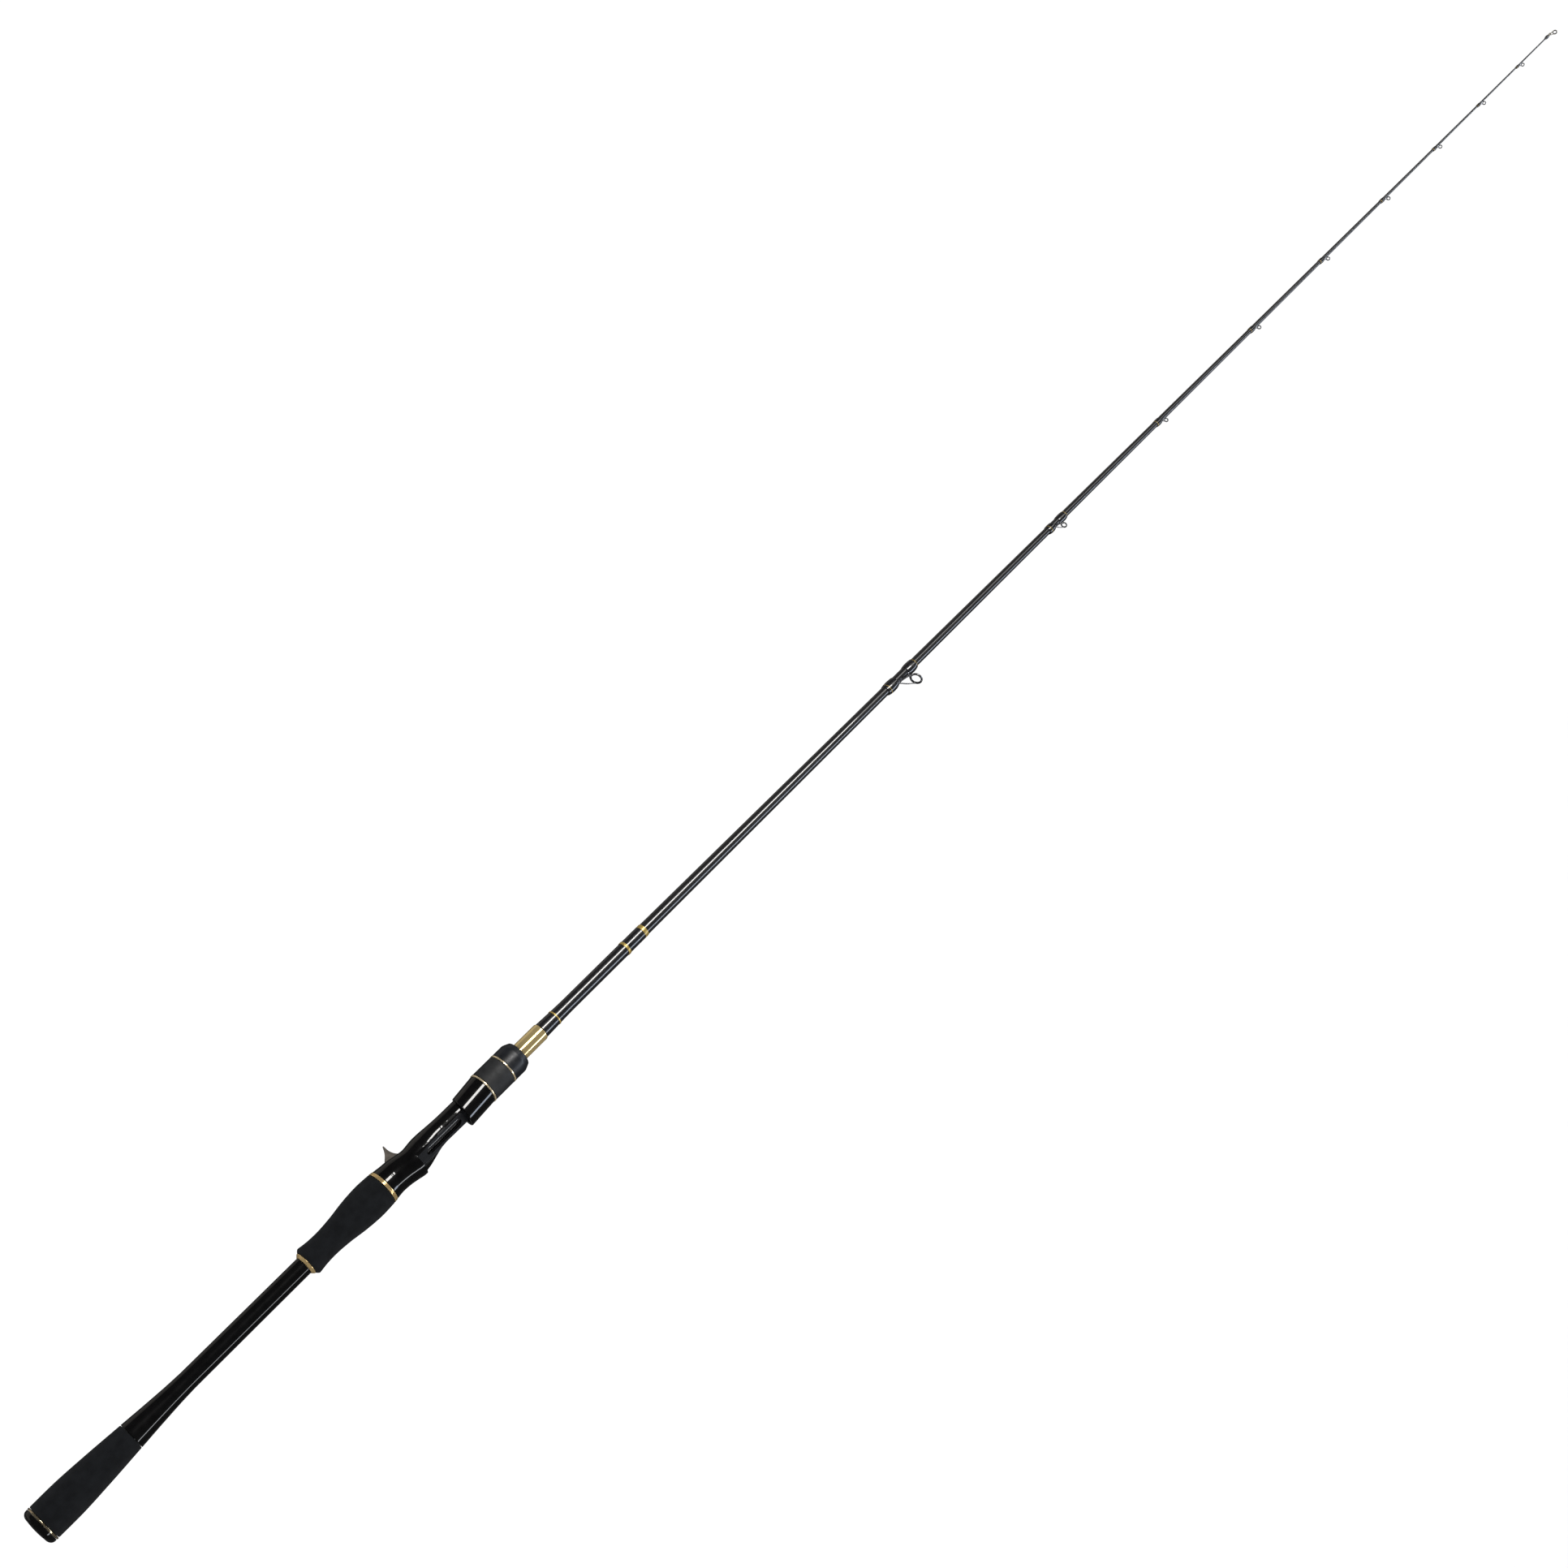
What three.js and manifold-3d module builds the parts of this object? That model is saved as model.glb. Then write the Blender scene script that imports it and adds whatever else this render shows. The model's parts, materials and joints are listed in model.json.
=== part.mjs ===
// Bait-casting fishing rod: tapered carbon blank, split foam handle, trigger reel seat with a
// screw-down front hood, nine line guides and a tip-top.
// Frame: +X runs along the rod from the butt face (x = 0) to the tip, +Z is the side that carries
// the reel and the guides, and the trigger points to -Z. Units are millimetres.

import * as THREE from 'three';
import { mergeVertices } from 'three/addons/utils/BufferGeometryUtils.js';
import Module from 'manifold-3d';

const wasm = await Module();
wasm.setup();

// ---------------------------------------------------------------- driving dimensions

const ROD_LENGTH = 2402; // butt face to the front of the tip-top ring
const GAP = 0.3; // glue line or working gap between neighbouring pieces
const FINE_GAP = 0.12; // the same on the small guides
const ROUND = 24; // sides of the handle's turned pieces
const BLANK_ROUND = 20; // sides of the blank
const SMALL_ROUND = 14; // sides of the guides' turned pieces
const WRAP_ROUND = 16; // sides of the thread wraps
const CUT = 1; // how far a cutter runs past the surface that it opens

// Blank: a hollow carbon tube, parallel through the handle and tapering to the tip.
const BLANK_R = 5.25;
const BLANK_TIP_R = 0.9;
const BLANK_WALL = 1.1;
const BLANK_TIP_WALL = 0.45;
const BLANK_TAPER_POWER = 1.2;
const BLANK_TAPER_STEPS = 12;

// Butt cap, butt grip and the flared sleeve in front of it.
const CAP_LENGTH = 5;
const CAP_R = 13.4;
const CAP_EDGE_R = 2.6;
const CAP_SPIGOT_LENGTH = 14;
const TRIM_WIDTH = 1.2;
const TRIM_PROUD = 0.2; // how far a trim ring stands above its neighbours
const BUTT_GRIP_LENGTH = 68.2;
const BUTT_GRIP_R = 13.4;
const BUTT_GRIP_END_R = 10.15;
const SLEEVE_FLARE_LENGTH = 48;
const SLEEVE_LENGTH = 148.5;
const SLEEVE_WALL = 1.45;
const CONE_RING_LENGTH = 2.2;
const CONE_RING_STEP = 0.6; // its rear edge above the sleeve
const CONE_RING_FRONT_R = 9.3;

// Mid grip behind the reel seat.
const MID_GRIP_LENGTH = 70.9;
const MID_GRIP_CHAMFER = 2;
const MID_GRIP_REAR_R = 11.45;
const MID_GRIP_WAIST_R = 10.25;
const MID_GRIP_BELLY_R = 14.15;
const SEAT_RING_LENGTH = 2.6;
const SEAT_RING_GROOVE = 0.5;
const SEAT_RING_STEP = 0.35; // its rear half above its front half

// Reel seat body: lengths from its rear end forwards.
const SEAT_REAR_LENGTH = 27.3; // rear end to the mouth of the fixed hood
const BED_LENGTH = 46.5; // between the two hood mouths
const POCKET_FLAT_LENGTH = 11.5; // flat on the barrel under the moving hood
const BARREL_LENGTH = 46; // round threaded barrel in front of that flat
const SEAT_REAR_R = 13.1;
const FIXED_HOOD_RISE = 6.8; // top of the fixed hood above the barrel radius
const WAIST_DROP = 1; // finger hollow in front of the trigger, below the barrel radius
const BELLY_RISE = 1; // palm swell in front of the hollow
const BED_WALL = 1.05; // between the blank's bore and the bed
const POCKET_STEP = 0.4; // hood pockets' floors below the bed
const POCKET_DEPTH = 7;
const POCKET_HALF_WIDTH = 6.9;
const POCKET_HEIGHT = 4.8;
const POCKET_CORNER_R = 3;
const SHOULDER_RISE = 1.9; // shoulders beside the foot channel, at the fixed hood
const SHOULDER_LENGTH = 24;
const CHANNEL_HALF_WIDTH = 7.3;
const CHANNEL_DRAFT = 0.6;
const WINDOW_HALF_WIDTH = 3.6; // slot in the bed that shows the blank
const WINDOW_START = 9; // from the fixed hood's mouth
const WINDOW_END_MARGIN = 3;

// Bushings between the blank and the seat.
const ARBOR_WALL = 1.35;
const REAR_ARBOR_WALL = 1.95;
const REAR_ARBOR_LENGTH = 16;
const FRONT_ARBOR_LENGTH = 27;
const BARREL_WALL = 1.7; // front bushing to thread root

// Trigger under the seat.
const TRIGGER_REACH = 27; // tip to the rod's axis
const TRIGGER_SKIN = 1.8; // thickness of its saddle
const TRIGGER_SADDLE_HALF_WIDTH = 5.2;
const TRIGGER_SADDLE_START = 1.2; // from the seat's rear end
const TRIGGER_SADDLE_END = 2.2; // short of the fixed hood's mouth
const TRIGGER_SADDLE_TOP = 2; // its upper edges below the axis
const TRIGGER_WIDTH = 7.6;
const TRIGGER_TIP_WIDTH = 4.4;
const TRIGGER_TIP_SETBACK = 5.2; // behind the fixed hood's mouth

// Screw: one ridge on the barrel, one in the nut, half a pitch apart.
const THREAD_PITCH = 4;
const THREAD_RIDGE_R = 0.7;
const THREAD_STEPS_PER_TURN = 10;
const THREAD_DEPTH = 1; // thread root to the nut's bore
const THREAD_START = 12; // from the barrel's rear
const THREAD_RELIEF = 2; // root left bare behind the thread
const THREAD_END_MARGIN = 3;
const NUT_TURNS = 2;
const NUT_RIDGE_START = 2; // from the foregrip band's rear end
const NUT_RIDGE_SINK = 0.1; // ridge's centre outside the nut's bore
const NUT_CREST_CLEARANCE = 0.2; // between the nut's ridge and the thread root

// Moving hood.
const HOOD_LENGTH = 25;
const HOOD_SLANT = 3.5; // how much further back the lip reaches on the reel side
const HOOD_FRONT_STEP = 0.25; // its front end below the foregrip band
const HOOD_REAR_STEP = 0.45; // its rear circle smaller than its front end
const HOOD_REAR_LIFT = 2.4; // the rear circle's centre above the axis
const HOOD_BARREL_CLEARANCE = 0.75;
const HOOD_POCKET_DEPTH = 8;
const HOOD_REST_GAP = 0.5; // between the bed's end and the hood's lip at rest
const KEY_HALF_WIDTH = 2;
const KEY_LENGTH = 6.4;
const KEY_START = 1; // in front of the hood's pocket
const KEYWAY_DEPTH = 1.3; // below the barrel radius
const KEY_CLEARANCE = 0.35;

// Locking nut: core, sleeve, trims and front cap.
const NUT_CORE_WALL = 1.3;
const NUT_SPIGOT_LENGTH = 8.8; // part of the core inside the hood
const SNAP_GROOVE_WIDTH = 1.8;
const SNAP_GROOVE_DEPTH = 0.5;
const SNAP_GROOVE_OFFSET = 3.9; // from the spigot's rear end
const SNAP_RING_SIDE_GAP = 0.25;
const SNAP_RING_SLIT = 0.5; // radians
const FOREGRIP_LENGTH = 19.2;
const FOREGRIP_WALL = 1.35;
const NUT_CAP_LENGTH = 15.7;
const NUT_CAP_SKIRT = 7.2; // part of the cap around the core
const NUT_CAP_CHAMFER = 5.2;
const NUT_CAP_NOSE_DROP = 2.25; // its nose below the foregrip band
const NUT_CAP_NOSE_EDGE = 0.4;
const NUT_CAP_FACE = 2.2; // thickness of its front wall
const NUT_CAP_HOLE_CLEARANCE = 0.55;

// Polished pipe and the winding with the blank label place in front of the seat.
const PIPE_LENGTH = 30.9;
const PIPE_WALL = 1.6;
const PIPE_EDGE = 0.6;
const WINDING_LENGTH = 115;
const WINDING_WALL = 0.3;
const WINDING_REAR_RISE = 1.25; // its rear end above the blank
const WINDING_STEP_SHARE = 0.35; // of that rise left at the first shoulder
const WINDING_SHOULDER = 14.5;
const WINDING_TRIM_WALL = 0.28;
const WINDING_TRIM_MID = 95; // from the winding's rear end

// Line guides. Each foot lies on the blank under a thread wrap.
const FIRST_GUIDE_X = 935.7;
const GUIDE_SPACING = [254, 199.7, 198.7, 162, 154, 142, 128, 119, 106];
const GUIDE_LEAN = THREE.MathUtils.degToRad(20); // rings lean towards the tip
const WRAP_WALL = 0.35;
const FOOT_LIFT = 0.12; // foot above the blank
const DOUBLE_FOOT_GUIDES = [
  {
    standoff: 10.65,
    ringR: 6,
    holderWall: 0.9,
    ringHoleR: 4.15,
    ringWidth: 1.7,
    wireR: 0.65,
    footWidth: 2.8,
    footHeight: 0.8,
    rearFoot: [-25, -10.7],
    frontFoot: [1.2, 14.5],
    rearWrap: [-27, -12.4],
    frontWrap: [3.2, 16.5],
  },
  {
    standoff: 5.85,
    ringR: 3.15,
    holderWall: 0.6,
    ringHoleR: 1.85,
    ringWidth: 1.2,
    wireR: 0.45,
    footWidth: 2,
    footHeight: 0.6,
    rearFoot: [-14.2, -5],
    frontFoot: [0.9, 12.5],
    rearWrap: [-15.6, -6.2],
    frontWrap: [2.2, 14.6],
  },
];
const SINGLE_FOOT_GUIDE = {
  standoff: 3.2,
  ringR: 2.4,
  holderWall: 0.5,
  ringHoleR: 1.25,
  ringWidth: 0.9,
  wireR: 0.42,
  footWidth: 1.4,
  footHeight: 0.5,
  foot: [-10.5, -1.8],
  wrap: [-11.8, -2.9],
};
const TIP_TOP = {
  standoff: 3.4, // ring centre above the axis
  ringR: 3,
  holderWall: 0.6,
  ringHoleR: 1.6,
  ringWidth: 1.1,
  wireR: 0.5,
  tubeLength: 13,
  tubeWall: 0.6,
  tubeEndWall: 1.5, // in front of the blank's end
  tubeToRing: 6.5, // tube's front end to the ring's centre
  wrapLength: 11,
  wrapOverlap: 5, // of the wrap over the tube
};

// ---------------------------------------------------------------- derived radii and places

const boreR = BLANK_R + GAP; // every handle piece slides onto the blank
const arborR = boreR + ARBOR_WALL;
const threadRootR = arborR + GAP + BARREL_WALL;
const barrelR = threadRootR + GAP;
const bedZ = boreR + BED_WALL;
const pocketFloorZ = bedZ - POCKET_STEP;
const nutBoreR = threadRootR + THREAD_DEPTH;
const nutCoreR = nutBoreR + NUT_CORE_WALL;
const nutSeatR = nutCoreR + GAP;
const foregripR = nutSeatR + FOREGRIP_WALL;
const hoodFrontR = foregripR - HOOD_FRONT_STEP;
const hoodRearR = hoodFrontR - HOOD_REAR_STEP;
const nutNoseR = foregripR - NUT_CAP_NOSE_DROP;
const hoodBoreR = barrelR + HOOD_BARREL_CLEARANCE;
const keywayZ = barrelR - KEYWAY_DEPTH;
const sleeveR = boreR + SLEEVE_WALL;
const pipeR = boreR + PIPE_WALL;
const gripEndR = SEAT_REAR_R + TRIM_PROUD + SEAT_RING_STEP;

// Stations along the rod, each from the one before it.
const buttRingX = CAP_LENGTH + GAP;
const buttGripX = buttRingX + TRIM_WIDTH + GAP;
const sleeveX = buttGripX + BUTT_GRIP_LENGTH + GAP;
const coneRingX = sleeveX + SLEEVE_LENGTH + GAP;
const midGripX = coneRingX + CONE_RING_LENGTH + GAP;
const seatRingX = midGripX + MID_GRIP_LENGTH + GAP;
const seatX = seatRingX + SEAT_RING_LENGTH + GAP;
const mouthX = seatX + SEAT_REAR_LENGTH;
const bedEndX = mouthX + BED_LENGTH;
const barrelX = bedEndX + POCKET_FLAT_LENGTH;
const threadX = barrelX + THREAD_START;
const threadReliefX = threadX - THREAD_RELIEF; // the barrel steps down to the thread's root
const barrelEndX = barrelX + BARREL_LENGTH;
const hoodX = bedEndX + HOOD_REST_GAP;
const hoodEndX = hoodX + HOOD_LENGTH;
const hoodRingX = hoodEndX + GAP;
const foregripX = hoodRingX + TRIM_WIDTH + GAP;
const nutRingX = foregripX + FOREGRIP_LENGTH + GAP;
const nutCapX = nutRingX + TRIM_WIDTH + GAP;
const nutCapEndX = nutCapX + NUT_CAP_LENGTH;
const pipeX = barrelEndX + GAP;
const windingX = pipeX + PIPE_LENGTH + GAP;
const windingEndX = windingX + WINDING_LENGTH;
const tipRingX = ROD_LENGTH - TIP_TOP.ringR * Math.sin(GUIDE_LEAN) - TIP_TOP.ringWidth / 2;
const tipTubeEndX = tipRingX - TIP_TOP.tubeToRing;
const tipTubeX = tipTubeEndX - TIP_TOP.tubeLength;
const blankEndX = tipTubeEndX - TIP_TOP.tubeEndWall;
const taperStartX = windingEndX;

// The blank's outer radius at a place along the rod.
function blankRadius(x) {
  const left = THREE.MathUtils.clamp((blankEndX - x) / (blankEndX - taperStartX), 0, 1);
  return BLANK_TIP_R + (BLANK_R - BLANK_TIP_R) * left ** BLANK_TAPER_POWER;
}

// ---------------------------------------------------------------- geometry helpers

// Keeps only positions, shares the vertices that coincide and drops faces with no area.
function welded(geometry) {
  const bare = geometry.clone();
  bare.deleteAttribute('normal');
  bare.deleteAttribute('uv');
  const merged = mergeVertices(bare, 1e-4);
  const faces = [];
  const index = merged.index.array;
  for (let i = 0; i < index.length; i += 3) {
    const [a, b, c] = [index[i], index[i + 1], index[i + 2]];
    if (a !== b && b !== c && c !== a) faces.push(a, b, c);
  }
  merged.setIndex(faces);
  return merged;
}

function solid(geometry) {
  const mesh = welded(geometry);
  return new wasm.Manifold(
    new wasm.Mesh({
      numProp: 3,
      vertProperties: new Float32Array(mesh.attributes.position.array),
      triVerts: new Uint32Array(mesh.index.array),
    }),
  );
}

function geometryOf(manifold) {
  const mesh = manifold.getMesh();
  const geometry = new THREE.BufferGeometry();
  geometry.setAttribute('position', new THREE.BufferAttribute(mesh.vertProperties, 3));
  geometry.setIndex(new THREE.BufferAttribute(mesh.triVerts, 1));
  return geometry;
}

// A profile of [x, radius] pairs turned about the rod's axis. It starts and ends on the axis, or
// closes on itself.
function turned(profile, sides = ROUND) {
  const points = profile.map(([x, r]) => new THREE.Vector2(r, x));
  const onAxis = profile[0][1] === 0 && profile[profile.length - 1][1] === 0;
  if (!onAxis) points.push(points[0].clone());
  if (THREE.ShapeUtils.area(points) < 0) points.reverse();
  return welded(new THREE.LatheGeometry(points, sides).rotateZ(-Math.PI / 2));
}

// A tube whose outside is a list of [x, radius] pairs and whose bore has one radius.
function sleeve(outside, innerR, sides = ROUND) {
  const first = outside[0][0];
  const last = outside[outside.length - 1][0];
  return turned([...outside, [last, innerR], [first, innerR]], sides);
}

function plainTube(x0, x1, outerR, innerR, sides = ROUND) {
  return sleeve([[x0, outerR], [x1, outerR]], innerR, sides);
}

function rod(x0, x1, r, sides = ROUND) {
  return turned([[x0, 0], [x0, r], [x1, r], [x1, 0]], sides);
}

// A smooth outline through a few [x, radius] pairs.
function smooth(pairs, steps) {
  const curve = new THREE.SplineCurve(pairs.map(([x, r]) => new THREE.Vector2(x, r)));
  return curve.getPoints(steps).map((p) => [p.x, p.y]);
}

function block(x0, x1, y0, y1, z0, z1) {
  const box = new THREE.BoxGeometry(x1 - x0, y1 - y0, z1 - z0);
  return box.translate((x0 + x1) / 2, (y0 + y1) / 2, (z0 + z1) / 2);
}

// A shape drawn in the rod's X-Z plane, extruded across it from -halfWidth to halfWidth.
function sidePlate(points, halfWidth) {
  const shape = new THREE.Shape(points.map(([x, z]) => new THREE.Vector2(x, z)));
  const plate = new THREE.ExtrudeGeometry(shape, { depth: 2 * halfWidth, bevelEnabled: false });
  return plate.rotateX(Math.PI / 2).translate(0, halfWidth, 0);
}

// A shape drawn across the rod, as Y-Z points, extruded from x0 to x1.
function crossPlate(shape, x0, x1) {
  const plate = new THREE.ExtrudeGeometry(shape, {
    depth: x1 - x0,
    bevelEnabled: false,
    curveSegments: 3,
  });
  return plate.rotateY(Math.PI / 2).rotateX(Math.PI / 2).translate(x0, 0, 0);
}

// A six-sided bar bent along a smooth path. An arc takes two points for each curve segment.
function wire(points, radius, steps) {
  const section = new THREE.Shape().absarc(0, 0, radius, 0, 2 * Math.PI);
  return new THREE.ExtrudeGeometry(section, {
    steps,
    curveSegments: 3,
    bevelEnabled: false,
    extrudePath: new THREE.CatmullRomCurve3(points),
  });
}

// A closed body whose radius is a function of the place along the rod and the angle from +Z.
function loft(stations, radiusAt, shiftAt = () => 0, sides = ROUND) {
  const last = stations.length - 1;
  const body = new THREE.CylinderGeometry(1, 1, 1, sides, last);
  const position = body.attributes.position;
  for (let i = 0; i < position.count; i += 1) {
    const angle = Math.atan2(position.getZ(i), position.getX(i));
    const share = Math.hypot(position.getX(i), position.getZ(i));
    const x = stations[Math.round((position.getY(i) + 0.5) * last)];
    const r = share * radiusAt(x, angle);
    position.setXYZ(i, x + share * shiftAt(x, angle), r * Math.sin(angle), r * Math.cos(angle));
  }
  return body;
}

// A ridge that climbs a cylinder as a right-hand helix.
function helixRidge(x0, turns, centreR, phase) {
  const steps = Math.round(turns * THREAD_STEPS_PER_TURN);
  const points = [];
  for (let i = 0; i <= steps; i += 1) {
    const angle = (2 * Math.PI * i) / THREAD_STEPS_PER_TURN;
    const x = x0 + (THREAD_PITCH * i) / THREAD_STEPS_PER_TURN;
    const turn = angle + phase;
    points.push(new THREE.Vector3(x, -centreR * Math.sin(turn), centreR * Math.cos(turn)));
  }
  return wire(points, THREAD_RIDGE_R, steps);
}

// ---------------------------------------------------------------- materials

const material = (color, roughness, metalness) => ({ color, roughness, metalness });
const CARBON = material(0x2b2f36, 0.32, 0.1);
const GLOSS_BLACK = material(0x0b0b0c, 0.12, 0);
const EVA = material(0x1b1b1d, 0.95, 0);
const GOLD = material(0xc9a45c, 0.28, 1);
const PALE_GOLD = material(0xd8c9a0, 0.25, 1);
const SATIN_BAND = material(0x4a4846, 0.6, 0.1);
const SATIN_BLUE_BLACK = material(0x23282f, 0.55, 0.1);
const TRIGGER_GREY = material(0x5c544d, 0.5, 0.2);
const DARK_PLASTIC = material(0x26262a, 0.5, 0);
const FOAM_CORE = material(0x8a8a86, 0.9, 0);
const SPRING_STEEL = material(0x9a9da2, 0.3, 1);
const GUIDE_BLACK = material(0x202226, 0.3, 0.8);
const GUIDE_GREY = material(0x8f8a7c, 0.3, 0.9);
const CERAMIC_RING = material(0x3c3f44, 0.15, 0.2);
const WRAP_EPOXY = material(0x111216, 0.15, 0);

const part = new THREE.Group();

// Adds a piece whose geometry is drawn about x on the rod's axis.
function add(name, geometry, look, x = 0) {
  const mesh = new THREE.Mesh(geometry, new THREE.MeshStandardMaterial(look));
  mesh.name = name;
  mesh.position.x = x;
  part.add(mesh);
}

// ---------------------------------------------------------------- blank and butt

function addBlank() {
  const start = buttRingX;
  const outside = [[start, BLANK_R], [taperStartX, BLANK_R]];
  for (let i = 1; i <= BLANK_TAPER_STEPS; i += 1) {
    const x = THREE.MathUtils.lerp(taperStartX, blankEndX, i / BLANK_TAPER_STEPS);
    outside.push([x, blankRadius(x)]);
  }
  const wallAt = (x) => {
    const share = (x - start) / (blankEndX - start);
    return THREE.MathUtils.lerp(BLANK_WALL, BLANK_TIP_WALL, share);
  };
  const inside = outside.filter((_, i) => i % 2 === 0 || i === 1).reverse();
  const bore = inside.map(([x, r]) => [x, r - wallAt(x)]);
  add('blank', turned([...outside, ...bore], BLANK_ROUND), CARBON);
}

function addButt() {
  const edge = new THREE.Path().absarc(
    CAP_EDGE_R,
    CAP_R - CAP_EDGE_R,
    CAP_EDGE_R,
    Math.PI,
    Math.PI / 2,
    true,
  );
  const rim = edge.getPoints(3).map((p) => [p.x, p.y]);
  const spigotR = BLANK_R - BLANK_WALL - GAP;
  const spigotEnd = CAP_LENGTH + CAP_SPIGOT_LENGTH;
  const end = [[CAP_LENGTH, CAP_R], [CAP_LENGTH, spigotR], [spigotEnd, spigotR], [spigotEnd, 0]];
  add('butt_cap', turned([[0, 0], ...rim, ...end]), GLOSS_BLACK);

  const ringR = CAP_R + TRIM_PROUD;
  add('butt_trim_ring', plainTube(buttRingX, buttRingX + TRIM_WIDTH, ringR, boreR), PALE_GOLD);

  const x = (share) => buttGripX + share * BUTT_GRIP_LENGTH;
  const fall = BUTT_GRIP_R - BUTT_GRIP_END_R;
  const grip = smooth(
    [
      [x(0), BUTT_GRIP_R],
      [x(0.28), BUTT_GRIP_R],
      [x(0.6), BUTT_GRIP_R - 0.37 * fall],
      [x(1), BUTT_GRIP_END_R],
    ],
    7,
  );
  add('butt_grip', sleeve(grip, boreR), EVA);
}

function addSleeve() {
  const flare = BUTT_GRIP_END_R - sleeveR;
  const x = (share) => sleeveX + share * SLEEVE_FLARE_LENGTH;
  const outside = smooth(
    [
      [x(0), BUTT_GRIP_END_R],
      [x(0.4), sleeveR + 0.51 * flare],
      [x(0.72), sleeveR + 0.18 * flare],
      [x(1), sleeveR],
    ],
    6,
  );
  outside.push([sleeveX + SLEEVE_LENGTH, sleeveR]);
  add('rear_sleeve', sleeve(outside, boreR), GLOSS_BLACK);

  const coneEnd = coneRingX + CONE_RING_LENGTH;
  const cone = [[coneRingX, sleeveR + CONE_RING_STEP], [coneEnd, CONE_RING_FRONT_R]];
  add('rear_trim_ring', sleeve(cone, boreR), GOLD);
}

function addMidGrip() {
  const x = (share) => midGripX + share * MID_GRIP_LENGTH;
  const chamferEnd = midGripX + MID_GRIP_CHAMFER;
  const outside = smooth(
    [
      [chamferEnd, MID_GRIP_REAR_R],
      [x(0.12), MID_GRIP_WAIST_R + 0.35],
      [x(0.25), MID_GRIP_WAIST_R],
      [x(0.43), MID_GRIP_WAIST_R + 0.9],
      [x(0.63), MID_GRIP_BELLY_R - 1],
      [x(0.84), MID_GRIP_BELLY_R],
      [x(1), gripEndR],
    ],
    10,
  );
  const rear = [midGripX, CONE_RING_FRONT_R + TRIM_PROUD];
  add('mid_grip', sleeve([rear, ...outside], boreR), EVA);

  const half = seatRingX + SEAT_RING_LENGTH / 2;
  const ringEnd = seatRingX + SEAT_RING_LENGTH;
  const ringR = gripEndR;
  const ring = [
    [seatRingX, ringR],
    [half - SEAT_RING_GROOVE, ringR],
    [half - SEAT_RING_GROOVE / 2, ringR - SEAT_RING_GROOVE],
    [half + SEAT_RING_GROOVE / 2, ringR - SEAT_RING_GROOVE],
    [half + SEAT_RING_GROOVE, ringR - 0.1],
    [ringEnd, SEAT_REAR_R + TRIM_PROUD],
  ];
  add('seat_rear_ring', sleeve(ring, boreR), GOLD);
}

// ---------------------------------------------------------------- reel seat

// Height of the seat's outside above and below the axis, at distances from the fixed hood's mouth.
const hoodTop = barrelR + FIXED_HOOD_RISE;
const waistR = barrelR - WAIST_DROP;
const bellyR = barrelR + BELLY_RISE;
const seatOutline = [
  { at: -SEAT_REAR_LENGTH, top: SEAT_REAR_R, bottom: SEAT_REAR_R },
  { at: -0.77 * SEAT_REAR_LENGTH, top: SEAT_REAR_R - 0.6, bottom: SEAT_REAR_R - 0.8 },
  { at: -0.5 * SEAT_REAR_LENGTH, top: SEAT_REAR_R, bottom: SEAT_REAR_R - 1.7 },
  { at: -0.26 * SEAT_REAR_LENGTH, top: hoodTop - 1.4, bottom: waistR + 1.3 },
  { at: -2.5, top: hoodTop - 0.2, bottom: waistR },
  { at: 0, top: hoodTop, bottom: waistR + 0.1 },
  { at: 3.5, top: hoodTop - 0.7, bottom: waistR + 0.85 },
  { at: 7, top: hoodTop - 1.7, bottom: bellyR - 0.5 },
  { at: 14, top: barrelR + 2.4, bottom: bellyR },
  { at: 21, top: barrelR + 0.2, bottom: bellyR - 0.2 },
  { at: 26, top: barrelR - 0.3, bottom: barrelR + 0.5 },
  { at: 34, top: barrelR - 0.2, bottom: barrelR + 0.1 },
  { at: BED_LENGTH - 2, top: barrelR, bottom: barrelR },
  { at: threadReliefX - mouthX, top: barrelR, bottom: barrelR },
];

function seatLoft(grow) {
  const stations = seatOutline.map((row) => mouthX + row.at);
  const radiusAt = (x, angle) => {
    const row = seatOutline[stations.indexOf(x)];
    const middle = (row.top + row.bottom) / 2 + grow;
    return middle + ((row.top - row.bottom) / 2) * Math.cos(angle);
  };
  return solid(loft(stations, radiusAt));
}

// A hood pocket seen along the rod: flat floor, rounded upper corners.
function pocketShape(floorZ, roofZ) {
  const w = POCKET_HALF_WIDTH;
  const r = POCKET_CORNER_R;
  const shape = new THREE.Shape();
  shape.moveTo(-w, floorZ);
  shape.lineTo(w, floorZ);
  shape.lineTo(w, roofZ - r);
  shape.absarc(w - r, roofZ - r, r, 0, Math.PI / 2);
  shape.lineTo(-w + r, roofZ);
  shape.absarc(-w + r, roofZ - r, r, Math.PI / 2, Math.PI);
  shape.closePath();
  return shape;
}

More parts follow.
